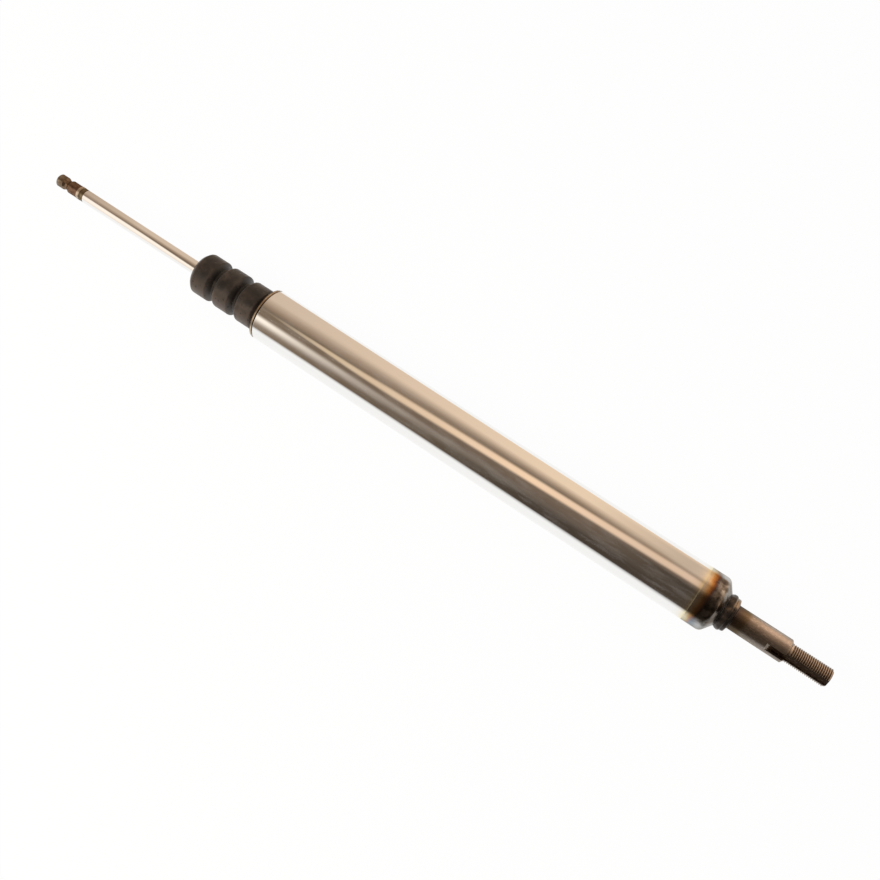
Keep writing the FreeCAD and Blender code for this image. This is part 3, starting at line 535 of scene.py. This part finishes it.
# Floating piston. A light turned cup that keeps the oil from the gas behind it. It is cut from aluminium bar,
# with its O-ring and guide band in two grooves, and stays inside the tube.

# Turned aluminium: bright satin grey with fine rings, clouded by a film of oil.
aluminium, tree, shader, place = new_material("aluminium_turned")
x = add(tree, "SeparateXYZ", [place]).outputs["X"]
feed = 0.3 * MM  # drawn three times as coarse as the tool left it
turning = tool_marks(tree, x, feed, depth=0.01 * MM, strength=0.5)
film_size = 5 * MM
film = add(tree, "TexNoise", [place, 1 / film_size, 3.0])
oiled = add(tree, "ValToRGB", [film], [(0.35, "#cfcdc6"), (0.65, "#dddcd9")])
satin = add(tree, "MapRange", [film, 0.0, 1.0, 0.24, 0.4])
plug(shader, {"Base Color": oiled, "Roughness": satin, "Normal": turning, "Metallic": 1.0})


def dress(material, *names):
    """Gives CAD nodes that keep their own shape this material."""
    for name in names:
        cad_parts[name].data.materials.clear()
        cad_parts[name].data.materials.append(material)


dress(aluminium, "floating_piston", "rod_guide")

# Bands. Strips of bronze-filled slippery plastic, cut with a slanting gap and snapped round both pistons, so
# that metal never rubs on the bore.

# Plastic filled with bronze powder: matt brown, speckled with lighter grains.
bearing_band, tree, shader, place = new_material("bronze_filled_plastic")
grain_size = 0.35 * MM
fill = add(tree, "TexNoise", [place, 1 / grain_size, 2.0])
filled = add(tree, "ValToRGB", [fill], [(0.35, "#4e3d2b"), (0.55, "#6b5439"), (0.72, "#96774c")])
sheen = add(tree, "MapRange", [fill, 0.0, 1.0, 0.55, 0.4])
plug(shader, {"Base Color": filled, "Roughness": sheen})
dress(bearing_band, "floating_piston_band", "piston_band")

# Piston rod. Ground steel bar, hard-chromed where it runs in the guide. Its outer end is turned down after
# plating: a recess, a land, a plain end, a waist for the strut's clip and a small head. Inside it steps down
# to carry the valve.

rod_low, rod_high = [np.array(corner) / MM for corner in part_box("piston_rod")]
rod_tip, rod_radius = rod_low[0], rod_high[2]
chrome_start = rod_tip + 29.0
spigot_start = rod_high[0] - 32.56
rod_profile = solid_profile([
    (rod_tip, 0.0, 0.0),
    (rod_tip, 4.4, 0.2),
    (rod_tip + 0.8, 5.2, 0.25),
    (rod_tip + 6.6, 5.2, 0.3),
    (rod_tip + 8.8, 4.1, 0.8),
    (rod_tip + 10.6, 4.1, 0.8),
    (rod_tip + 12.8, 5.3, 0.5),
    (rod_tip + 22.1, 5.3, 0.05),
    (rod_tip + 22.1, rod_radius, 0.05),
    (rod_tip + 24.6, rod_radius, 0.05),
    (rod_tip + 24.6, 5.35, 0.05),
    (chrome_start, 5.35, 0.05),
    (chrome_start, rod_radius, 0.06),
    (spigot_start, rod_radius, 0.2),
    (spigot_start, 4.0, 0.2),
    (rod_high[0] - 0.4, 4.0, 0.1),
    (rod_high[0], 3.6, 0.1),
    (rod_high[0], 0.0, 0.0),
])
end_rows = np.arange(rod_tip + 0.3, chrome_start, 0.35)
rod = make_piece("chromed_piston_rod", turned(with_rows(rod_profile, end_rows)))

# Unplated steel, turned and oiled, under a brown film of old oil and rust: pale on the head, darker in the
# waist, red-brown on the plain end, rubbed bright on the land and olive in the recess.
oiled_end, tree, shader, place = new_material("oiled_steel_turned")
x = add(tree, "SeparateXYZ", [place]).outputs["X"]
film_size, speck_size = 3 * MM, 0.6 * MM
film = add(tree, "TexNoise", [place, 1 / film_size, 4.0, 0.6])
speck = add(tree, "TexNoise", [place, 1 / speck_size, 2.0])
end_from, end_to = rod_tip * MM, chrome_start * MM
end_place = add(tree, "MapRange", [x, end_from, end_to])
stain = add(tree, "ValToRGB", [end_place], [
    (0.00, "#aea396"), (0.20, "#8c7d6b"), (0.31, "#a08b76"), (0.425, "#8e7864"), (0.755, "#8c7060"),
    (0.765, "#e2d6c6"), (0.845, "#d8cbb8"), (0.855, "#7a7060"), (0.92, "#94886e"), (1.00, "#786a54"),
])
blotch = add(tree, "ValToRGB", [film], [(0.32, "#b8aea6"), (0.5, "#e4dfd9"), (0.66, "#ffffff")])
stained = add(tree, "Mix", [0.9, stain, blotch], data_type="RGBA", blend_type="MULTIPLY")
satin = add(tree, "MapRange", [film, 0.3, 0.7, 0.42, 0.3])
pitted = add(tree, "Bump", {"Height": speck, "Distance": 0.03 * MM, "Strength": 0.5})
plug(shader, {
    "Base Color": stained, "Roughness": satin, "Normal": pitted, "Metallic": 1.0, "Specular Tint": edge_tint,
})
rod.data.materials.append(chrome)
rod.data.materials.append(oiled_end)
paint_beyond(rod, chrome_start, 1)
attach(rod, "rod_assembly")
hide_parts("piston_rod")

# Valve piston. Pressed from iron powder and sintered, then blued in steam, with two sets of slanting ports.
# It sits on the rod's spigot between the two shim stacks.

# Steam-blued iron: dull blue-grey, full of small pores.
sintered, tree, shader, place = new_material("sintered_iron_steam_blued")
pore_size, cloud_size = 0.4 * MM, 3 * MM
pore = add(tree, "TexVoronoi", {"Vector": place, "Scale": 1 / pore_size})
cloud = add(tree, "TexNoise", [place, 1 / cloud_size, 3.0])
blued = add(tree, "ValToRGB", [cloud], [(0.35, "#3a3b40"), (0.65, "#55565c")])
grain = add(tree, "Bump", {"Height": pore, "Distance": 0.04 * MM, "Strength": 0.6})
dull = add(tree, "MapRange", [cloud, 0.0, 1.0, 0.45, 0.6])
plug(shader, {"Base Color": blued, "Roughness": dull, "Normal": grain, "Metallic": 1.0})
dress(sintered, "piston")

# Shims and circlip. Blanked from bright rolled spring strip and tumbled. The shims bend to let oil through
# the ports, and the circlip holds the guide in the tube against the gas.

# Rolled strip: bright grey with fine streaks along the rolling.
spring_strip, tree, shader, place = new_material("spring_steel_rolled")
roll_length, roll_width = 6 * MM, 0.3 * MM
rolled = add(tree, "Mapping", {"Vector": place, "Scale": (1 / roll_width, 1 / roll_length, 1 / roll_width)})
streak = add(tree, "TexNoise", [rolled, 1.0, 2.0])
bright = add(tree, "ValToRGB", [streak], [(0.35, "#a9a8a6"), (0.65, "#c3c2c0")])
satin = add(tree, "MapRange", [streak, 0.0, 1.0, 0.18, 0.32])
plug(shader, {"Base Color": bright, "Roughness": satin, "Metallic": 1.0})
dress(spring_strip, "compression_shims", "rebound_shims", "guide_circlip")

# Stop washers and piston nut. Turned and milled from bar and blacked in hot salts. The nut clamps the whole
# valve on the rod's spigot.

# Black oxide: a thin satin skin, brown-black in patches.
blacked, tree, shader, place = new_material("blacked_steel")
patch_size = 2.5 * MM
patch = add(tree, "TexNoise", [place, 1 / patch_size, 4.0])
black = add(tree, "ValToRGB", [patch], [(0.35, "#2f2b29"), (0.65, "#4a4440")])
satin = add(tree, "MapRange", [patch, 0.0, 1.0, 0.3, 0.45])
plug(shader, {"Base Color": black, "Roughness": satin, "Metallic": 1.0})
dress(blacked, "compression_washer", "rebound_washer", "piston_nut")

# Guide bush. A rolled strip of bronze on steel with a dark slippery lining, pressed into the rod guide, in
# which the rod runs.

# Lined bronze: golden brown, darker and speckled where the lining covers it.
bronze, tree, shader, place = new_material("lined_bronze")
lining_size = 0.5 * MM
lining = add(tree, "TexNoise", [place, 1 / lining_size, 2.0])
lined = add(tree, "ValToRGB", [lining], [(0.35, "#6e5a3c"), (0.6, "#8f7448"), (0.75, "#b08d54")])
satin = add(tree, "MapRange", [lining, 0.0, 1.0, 0.5, 0.32])
plug(shader, {"Base Color": lined, "Roughness": satin, "Metallic": 1.0})
dress(bronze, "guide_bush")

# Seals and rebound bumper. Moulded nitrile rubber: the O-rings, the rod's cup seal with its load ring, and
# the bumper that the piston meets at full stretch.

# Nitrile rubber: matt black, a little greyer where it has bloomed.
rubber, tree, shader, place = new_material("nitrile_rubber_moulded")
skin_size = 1.5 * MM
skin = add(tree, "TexNoise", [place, 1 / skin_size, 3.0])
bloomed = add(tree, "ValToRGB", [skin], [(0.35, "#171616"), (0.65, "#232221")])
matt = add(tree, "MapRange", [skin, 0.0, 1.0, 0.42, 0.6])
flow = add(tree, "Bump", {"Height": skin, "Distance": 0.02 * MM, "Strength": 0.4})
plug(shader, {"Base Color": bloomed, "Roughness": matt, "Normal": flow})
dress(rubber, "guide_o_ring", "rod_seal", "seal_load_ring", "rebound_bumper", "floating_piston_o_ring")

# End cover and seal washer. Turned steel, zinc-plated and oiled. The cover is pressed into the tube's open
# end, and its thin flange stands on the tube's edge.

cover_low, cover_high = [np.array(corner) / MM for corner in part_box("end_cover")]
cover_face, cover_back = cover_low[0], cover_high[0]
flange_radius, flange_back, cover_spigot = cover_high[2], tube_end, 17.98
wiper_seat, rod_passage, wiper_floor = 9.0, 6.0, cover_face + 5.05
cover_profile = rounded([
    (cover_face, wiper_seat, 0.15),
    (cover_face, flange_radius - 0.5, 0.15),
    (cover_face + 0.5, flange_radius, 0.2),
    (flange_back - 0.5, flange_radius, 0.2),
    (flange_back, flange_radius - 0.5, 0.1),
    (flange_back, cover_spigot, 0.1),
    (cover_back - 0.5, cover_spigot, 0.1),
    (cover_back, cover_spigot - 0.5, 0.1),
    (cover_back, rod_passage, 0.2),
    (wiper_floor, rod_passage, 0.2),
    (wiper_floor, wiper_seat, 0.2),
])
cover = make_piece("pressed_end_cover", turned(cover_profile), ring=True)

# Oiled zinc: warm satin grey with the facing tool's rings, and dirt in the joint round its rim.
plated, tree, shader, place = new_material("zinc_plated_steel_turned")
film_size = 4 * MM
film = add(tree, "TexNoise", [place, 1 / film_size, 4.0])
dulled = add(tree, "ValToRGB", [film], [(0.32, "#a08e7a"), (0.5, "#c8b8a2"), (0.68, "#dccdb8")])
satin = add(tree, "MapRange", [film, 0.0, 1.0, 0.34, 0.2])
x = add(tree, "SeparateXYZ", [place]).outputs["X"]
across_axis = add(tree, "VectorMath", [place, (0.0, 1.0, 1.0)], operation="MULTIPLY")
radius = add(tree, "VectorMath", [across_axis], operation="LENGTH")
feed = 0.4 * MM  # the facing tool's rings, drawn three times as far apart as they are
facing = tool_marks(tree, radius, feed, depth=0.01 * MM, strength=0.5)
ring_middle, ring_half, ring_edge = (cover_face + 1.35) * MM, 0.35 * MM, 0.25 * MM
from_ring = add(tree, "Math", [x, ring_middle], operation="SUBTRACT")
off_ring = add(tree, "Math", [from_ring], operation="ABSOLUTE")
joint_dirt = add(tree, "MapRange", [off_ring, ring_half, ring_half + ring_edge, 0.0, 0.85])
joint_line = add(tree, "Mix", [joint_dirt, dulled, linear("#4a3420")], data_type="RGBA")
plug(shader, {"Base Color": joint_line, "Roughness": satin, "Normal": facing, "Metallic": 1.0})
cover.data.materials.append(plated)
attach(cover, "cylinder")
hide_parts("end_cover")
dress(plated, "seal_washer")

# Wiper seal. A small moulded rubber ring in the cover's mouth, with a lip that leans out along the rod and
# keeps dirt off the rod seal.

wiper_low, wiper_high = [np.array(corner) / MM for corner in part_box("wiper_seal")]
wiper_outside = wiper_high[2]
lip_radius = 5.56
wiper_profile = rounded([
    (wiper_low[0], lip_radius, 0.15),
    (wiper_low[0], lip_radius + 0.7, 0.25),
    (wiper_low[0] + 1.6, lip_radius + 1.3, 0.4),
    (wiper_low[0] + 1.0, wiper_outside - 0.3, 0.3),
    (wiper_low[0] + 1.4, wiper_outside, 0.2),
    (wiper_high[0], wiper_outside, 0.3),
    (wiper_high[0], lip_radius + 0.8, 0.3),
    (wiper_low[0] + 2.2, lip_radius + 0.5, 0.3),
    (wiper_low[0] + 0.8, lip_radius, 0.1),
])
wiper = make_piece("rod_wiper", turned(wiper_profile), ring=True)
wiper.data.materials.append(rubber)
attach(wiper, "cylinder")
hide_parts("wiper_seal")

# Bump stop. A sleeve of moulded polyurethane foam with three lobes, pushed over the rod, where it grips
# lightly. It meets the cover when the strut is nearly closed.

stop_low, stop_high = [np.array(corner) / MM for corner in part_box("bump_stop")]
stop_nose, stop_seat, stop_radius = stop_low[0], stop_high[0], stop_high[2]
stop_bore, stop_lead, seat_edge = 5.6, 1.5, 4.0
valley_radius, valley_half, mouth_half = 12.5, 1.0, 4.0
valleys = [
    (middle + aside, valley_reach, rounding)
    for middle in (stop_nose + 20.5, stop_nose + 42.1)
    for aside, valley_reach, rounding in (
        (-mouth_half, stop_radius, 1.3),
        (-valley_half, valley_radius, 0.9),
        (valley_half, valley_radius, 0.9),
        (mouth_half, stop_radius, 2.2),
    )
]
stop_profile = rounded([
    (stop_nose, stop_bore + stop_lead, 0.6),
    (stop_nose, stop_radius - 3.0, 2.0),
    (stop_nose + 3.0, stop_radius, 2.0),
    *valleys,
    (stop_seat - seat_edge, stop_radius, 2.0),
    (stop_seat, stop_radius - seat_edge, 1.0),
    (stop_seat, stop_bore, 0.3),
    (stop_nose + stop_lead, stop_bore, 0.3),
], steps=10)
stop = make_piece("foam_bump_stop", turned(stop_profile), ring=True)

# Microcellular foam with a moulded skin: a dull brown-black, greyer where it has been rubbed, with open pores
# and small torn pits in the skin.
foam, tree, shader, place = new_material("polyurethane_foam_moulded")
patch_size, cell_size, pit_size = 8 * MM, 0.5 * MM, 4 * MM
patch = add(tree, "TexNoise", [place, 1 / patch_size, 4.0, 0.6])
cell = add(tree, "TexNoise", [place, 1 / cell_size, 2.0])
pit = add(tree, "TexVoronoi", {"Vector": place, "Scale": 1 / pit_size})
rubbed = add(tree, "ValToRGB", [patch], [(0.34, "#17120f"), (0.50, "#231d18"), (0.66, "#382d26")])
across_axis = add(tree, "VectorMath", [place, (0.0, 1.0, 1.0)], operation="MULTIPLY")
radius = add(tree, "VectorMath", [across_axis], operation="LENGTH")
# Painted shade: the valleys between the lobes are mixed toward near black.
groove_shade = add(tree, "MapRange", [radius, (valley_radius + 0.5) * MM, (stop_radius - 0.8) * MM, 0.65, 0.0])
# Painted light: the lower near side is mixed toward a warmer, lighter brown, and the torn pits show only
# there.
lower_side = (0.0, -0.94 / (stop_radius * MM), -0.34 / (stop_radius * MM))
lowness = add(tree, "VectorMath", [place, lower_side], operation="DOT_PRODUCT")
low = add(tree, "MapRange", [lowness, 0.1, 0.85])
painted_light_share = add(tree, "Math", [low, 0.55], operation="MULTIPLY")
low_side_lit = add(tree, "Mix", [painted_light_share, rubbed, linear("#5a4a3d")], data_type="RGBA")
groove_shaded = add(tree, "Mix", [groove_shade, low_side_lit, linear("#0e0b09")], data_type="RGBA")
hole = add(tree, "ValToRGB", [pit], [(0.16, "#1c1815"), (0.23, "#ffffff")])
pitted = add(tree, "Mix", [low, groove_shaded, hole], data_type="RGBA", blend_type="MULTIPLY")
dull = add(tree, "MapRange", [patch, 0.3, 0.7, 0.5, 0.4])
pores = add(tree, "Bump", {"Height": cell, "Distance": 0.02 * MM, "Strength": 0.5})
pits = add(tree, "Bump", {"Height": hole, "Distance": 0.25 * MM, "Strength": 0.6, "Normal": pores})
plug(shader, {
    "Base Color": pitted, "Roughness": dull, "Normal": pits, "Sheen Weight": 0.2, "Sheen Roughness": 0.35,
    "Sheen Tint": linear("#cfc8c0"),
})
stop.data.materials.append(foam)
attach(stop, "bump_stop")
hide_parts("bump_stop")

# Floor. A large sheet of white paper. The camera sees it white with the part's soft shadow, and polished
# metal mirrors only the strip of paper near the part, because the real sheet ended there.

floor_edges, floor_height = [-4000.0, 4000.0], cad_low.z / MM
floor_grid = np.stack(np.meshgrid(floor_edges, floor_edges, floor_height), axis=3).reshape(2, 2, 3)


def make_stage(name, grid):
    """A stage object from an open grid in millimetres: one face between each four neighbours."""
    index = np.arange(grid.shape[0] * grid.shape[1]).reshape(grid.shape[:2])
    faces = np.stack([index[:-1, :-1], index[:-1, 1:], index[1:, 1:], index[1:, :-1]], axis=2)
    made = make_object(name, grid, faces)
    return made


paper_floor = make_stage("paper_floor", floor_grid)
paper, tree, shader, place = new_material("white_paper")
tree.nodes.remove(shader)
x, y = add(tree, "SeparateXYZ", [place]).outputs[:2]
ray = add(tree, "LightPath")
# The sheet's long edges lie askew. Its near and right edges fade, and its far edge is sharp. All in metres.
near_edge = add(tree, "MapRange", [x, -0.45, 0.0, -0.123, -0.104])
far_edge = add(tree, "MapRange", [x, -0.62, 0.0, 0.038, 0.185])
fade_from, fade_to = -0.07, 0.035
right_edge, right_fade = 0.09, 0.04
from_near = add(tree, "Math", [y, near_edge], operation="SUBTRACT")
past_near = add(tree, "MapRange", [from_near, fade_from, fade_to])
before_far = add(tree, "Math", [y, far_edge], operation="LESS_THAN")
before_end = add(tree, "MapRange", [x, right_edge + right_fade, right_edge])
in_strip = add(tree, "Math", [past_near, before_far], operation="MULTIPLY")
on_sheet = add(tree, "Math", [in_strip, before_end], operation="MULTIPLY")
white = add(tree, "Emission", [linear("#ffffff"), 1.0])
# Painted shadow: past the cap's end the mirrored paper is dimmed in bands beside the stud.
under_stud = add(tree, "MapRange", [x, -0.01, 0.01])
shade_half = 60 * MM
shade_place = add(tree, "MapRange", [y, -shade_half, shade_half])
stud_shade = add(tree, "ValToRGB", [shade_place], [
    (0.22, "#c8c8c8"), (0.38, "#ffffff"), (0.55, "#ffffff"), (0.64, "#d8d8d8"), (0.74, "#dedede"),
    (0.9, "#ffffff"),
])
shaded = add(tree, "Mix", [under_stud, linear("#ffffff"), stud_shade], data_type="RGBA")
mirrored_white = add(tree, "Emission", [shaded, 1.0])
matt_white = add(tree, "BsdfDiffuse", [linear("#f4f4f3")])
clear = add(tree, "BsdfTransparent")
shown_white = 0.96
shadow_share = add(tree, "Math", [ray.outputs["Is Camera Ray"], shown_white], operation="MULTIPLY")
seen = add(tree, "MixShader", [shadow_share, matt_white, white])
mirrored = add(tree, "MixShader", [on_sheet, clear, mirrored_white])
paper_look = add(tree, "MixShader", [ray.outputs["Is Glossy Ray"], seen, mirrored])
plug(tree.nodes["Material Output"], {"Surface": paper_look})
paper_floor.data.materials.append(paper)

# Room. What the polished metal mirrors beyond the paper: a tan wall behind, a long soft lamp overhead, a dim
# near side, and a bright window at the near left. Only mirror rays see it.

room_radius, room_left, room_right = 1000.0, -3200.0, 2200.0
room_turn = np.radians(np.arange(-180, 181, 2))
room_end = np.array([[room_left], [room_left], [room_right], [room_right]])
room_reach = np.array([[1.0], [room_radius], [room_radius], [1.0]])
room_grid = np.stack(
    np.broadcast_arrays(room_end, -room_reach * np.sin(room_turn), room_reach * np.cos(room_turn)), axis=2
)
room = make_stage("mirrored_room", room_grid)
room.data.shade_flat()
room.visible_camera = False
room.visible_diffuse = False
room.visible_transmission = False
room.visible_shadow = False
walls, tree, shader, place = new_material("room_walls")
tree.nodes.remove(shader)
# Places along the room are in metres, and turns round it in degrees: 0 overhead and 90 on the near side.
stud_from, stud_to = 0.014, 0.03
x, y, z = add(tree, "SeparateXYZ", [place]).outputs
near_side = add(tree, "Math", [y, -1.0], operation="MULTIPLY")
turn = add(tree, "Math", [near_side, z], operation="ARCTAN2")
degrees = add(tree, "Math", [turn], operation="DEGREES")
round_share = add(tree, "MapRange", [degrees, -180.0, 180.0])
left_lean = add(tree, "MapRange", [x, -1.0, -0.86, -10.0, 0.0])
left_degrees = add(tree, "Math", [degrees, left_lean], operation="ADD")
left_share = add(tree, "MapRange", [left_degrees, -180.0, 180.0])
plaster, lit_plaster, dim_plaster, bright_plaster = "#ccb6a1", "#e4caae", "#bca792", "#f8d8be"
brown, timber, shade, dusk = "#98826e", "#786756", "#6a5b4f", "#443b33"
left_tones = [(-46, plaster), (-10, brown), (4, timber)]
wall = add(tree, "ValToRGB", [left_share], [((angle + 180) / 360, tone) for angle, tone in left_tones])
far_end = add(tree, "MapRange", [x, -1.32, -1.15, 0.55, 0.0])
wall = add(tree, "Mix", [far_end, wall, linear(brown)], data_type="RGBA")
# Each stretch of wall comes in between two places along the room and has its tones by their turns.
stretches = [
    (-0.84, -0.265, [(-57, lit_plaster), (-30, brown), (-20, timber), (36, shade), (70, dusk)]),
    (-0.20, -0.007, [
        (-108, lit_plaster), (-80, dim_plaster), (-42, dim_plaster), (-30, brown), (6, shade), (17, dusk),
    ]),
    (stud_from, stud_to, [
        (-90, plaster), (-70, bright_plaster), (-48, bright_plaster), (-28, brown), (-8, shade), (20, dusk),
    ]),
    (0.5, 1.2, [(-25, plaster), (5, timber), (25, dusk)]),
]
for start, end, tones in stretches:
    stretch = add(tree, "ValToRGB", [round_share], [((angle + 180) / 360, tone) for angle, tone in tones])
    begun = add(tree, "MapRange", [x, start, end])
    wall = add(tree, "Mix", [begun, wall, stretch], data_type="RGBA")
# The lamp hangs askew, narrows and fades to the left, and falls off across it as a bell with a flat top.
lamp_lean = add(tree, "MapRange", [x, -0.64, -0.007, 16.0, -13.0])
lamp_left = add(tree, "MapRange", [x, -0.85, -0.66, 12.0, 16.0])
lamp_turn = add(tree, "Math", [lamp_lean, lamp_left], operation="MINIMUM")
lamp_half = add(tree, "MapRange", [x, -0.84, -0.57, 3.0, 13.0])
lamp_off = add(tree, "Math", [degrees, lamp_turn], operation="SUBTRACT")
lamp_ratio = add(tree, "Math", [lamp_off, lamp_half], operation="DIVIDE")
lamp_fourth = add(tree, "Math", [lamp_ratio, 4.0], operation="POWER")
lamp_shape = add(tree, "Math", [math.exp(-1), lamp_fourth], operation="POWER")
lamp_on = add(tree, "MapRange", [x, -0.87, -0.71], interpolation_type="SMOOTHSTEP")
lamp_off_end = add(tree, "MapRange", [x, stud_from, stud_to, 1.0, 0.0])
lamp_length = add(tree, "Math", [lamp_on, lamp_off_end], operation="MULTIPLY")
lamp_share = add(tree, "Math", [lamp_shape, lamp_length], operation="MULTIPLY")
lamp_place = add(tree, "MapRange", [x, -0.75, -0.05])
lamp_shade = add(tree, "ValToRGB", [lamp_place], [(0.0, "#c8b296"), (0.65, "#f2d0b0"), (1.0, "#d8baa0")])
lit_wall = add(tree, "Mix", [lamp_share, wall, lamp_shade], data_type="RGBA")
# The window fades as a bell round its middle, dies away past its end, and has an eased upper edge.
window_turn, window_end, window_fade, window_edge = 54.0, -0.841, 0.17, 18.0
window_spread = add(tree, "MapRange", [x, -1.04, -0.86, 80.0, 18.0])
window_off = add(tree, "Math", [degrees, window_turn], operation="SUBTRACT")
window_ratio = add(tree, "Math", [window_off, window_spread], operation="DIVIDE")
window_square = add(tree, "Math", [window_ratio, window_ratio], operation="MULTIPLY")
window_away = add(tree, "Math", [x, window_end], operation="SUBTRACT")
window_far = add(tree, "Math", [window_away, window_fade], operation="DIVIDE")
window_dim = add(tree, "Math", [window_far, 0.0], operation="MAXIMUM")
window_sum = add(tree, "Math", [window_square, window_dim], operation="ADD")
window_shape = add(tree, "Math", [math.exp(-1), window_sum], operation="POWER")
gate_from = add(tree, "MapRange", [x, -1.15, -1.04, 20.0, 34.0])
past_gate = add(tree, "Math", [degrees, gate_from], operation="SUBTRACT")
window_gate = add(tree, "MapRange", [past_gate, 0.0, window_edge], interpolation_type="SMOOTHSTEP")
window_share = add(tree, "Math", [window_shape, window_gate], operation="MULTIPLY")
whole_room = add(tree, "Mix", [window_share, lit_wall, linear("#fff2e4")], data_type="RGBA")
room_level = add(tree, "MapRange", [x, stud_from, stud_to, 1.16, 1.65])
room_light = add(tree, "Emission", [whole_room, room_level])
plug(tree.nodes["Material Output"], {"Surface": room_light})
room.data.materials.append(walls)

# Light. White surroundings for the camera and for anything that mirrors them, dimmer as a light, and one
# large soft lamp from the near left.

surroundings = bpy.data.worlds.new("white_surroundings")
scene.world = surroundings
surroundings.use_nodes = True
tree = surroundings.node_tree
ray = add(tree, "LightPath")
seen_directly = ray.outputs["Is Camera Ray"]
for kind in ("Is Glossy Ray", "Is Transmission Ray"):
    seen_directly = add(tree, "Math", [seen_directly, ray.outputs[kind]], operation="MAXIMUM")
world_level = add(tree, "MapRange", [seen_directly, 0.0, 1.0, 0.6, 1.0])
plug(tree.nodes["Background"], {"Color": linear("#ffffff"), "Strength": world_level})

lamp_data = bpy.data.lights.new("soft_lamp", "AREA")
lamp_data.shape = "DISK"
lamp_data.size = 0.9
lamp_data.energy = 14.0
lamp_data.color = linear("#fff4e6")[:3]
soft_lamp = bpy.data.objects.new("soft_lamp", lamp_data)
lamp_aim = Vector((-0.35, 0.0, 0.0))
soft_lamp.location = (-0.95, -0.85, 0.95)
soft_lamp.rotation_euler = (lamp_aim - soft_lamp.location).to_track_quat("-Z", "Y").to_euler()
soft_lamp.visible_glossy = False
scene.collection.objects.link(soft_lamp)

# Camera. A 43 mm lens on a 36 mm sensor, three quarters of a metre away. It stands above the cap end and a
# little in front, and looks down at the tube's middle.

camera_data = bpy.data.cameras.new("camera")
camera_data.sensor_width = 36.0
camera_data.lens = 42.95
camera = bpy.data.objects.new("camera", camera_data)
camera_aim = Vector((-237.453, -8.901, 0.0)) * MM
camera.location = Vector((-64.6, -252.446, 703.05)) * MM
camera.rotation_euler = (camera_aim - camera.location).to_track_quat("-Z", "Y").to_euler()
scene.collection.objects.link(camera)
scene.camera = camera
scene.view_settings.view_transform = "Standard"
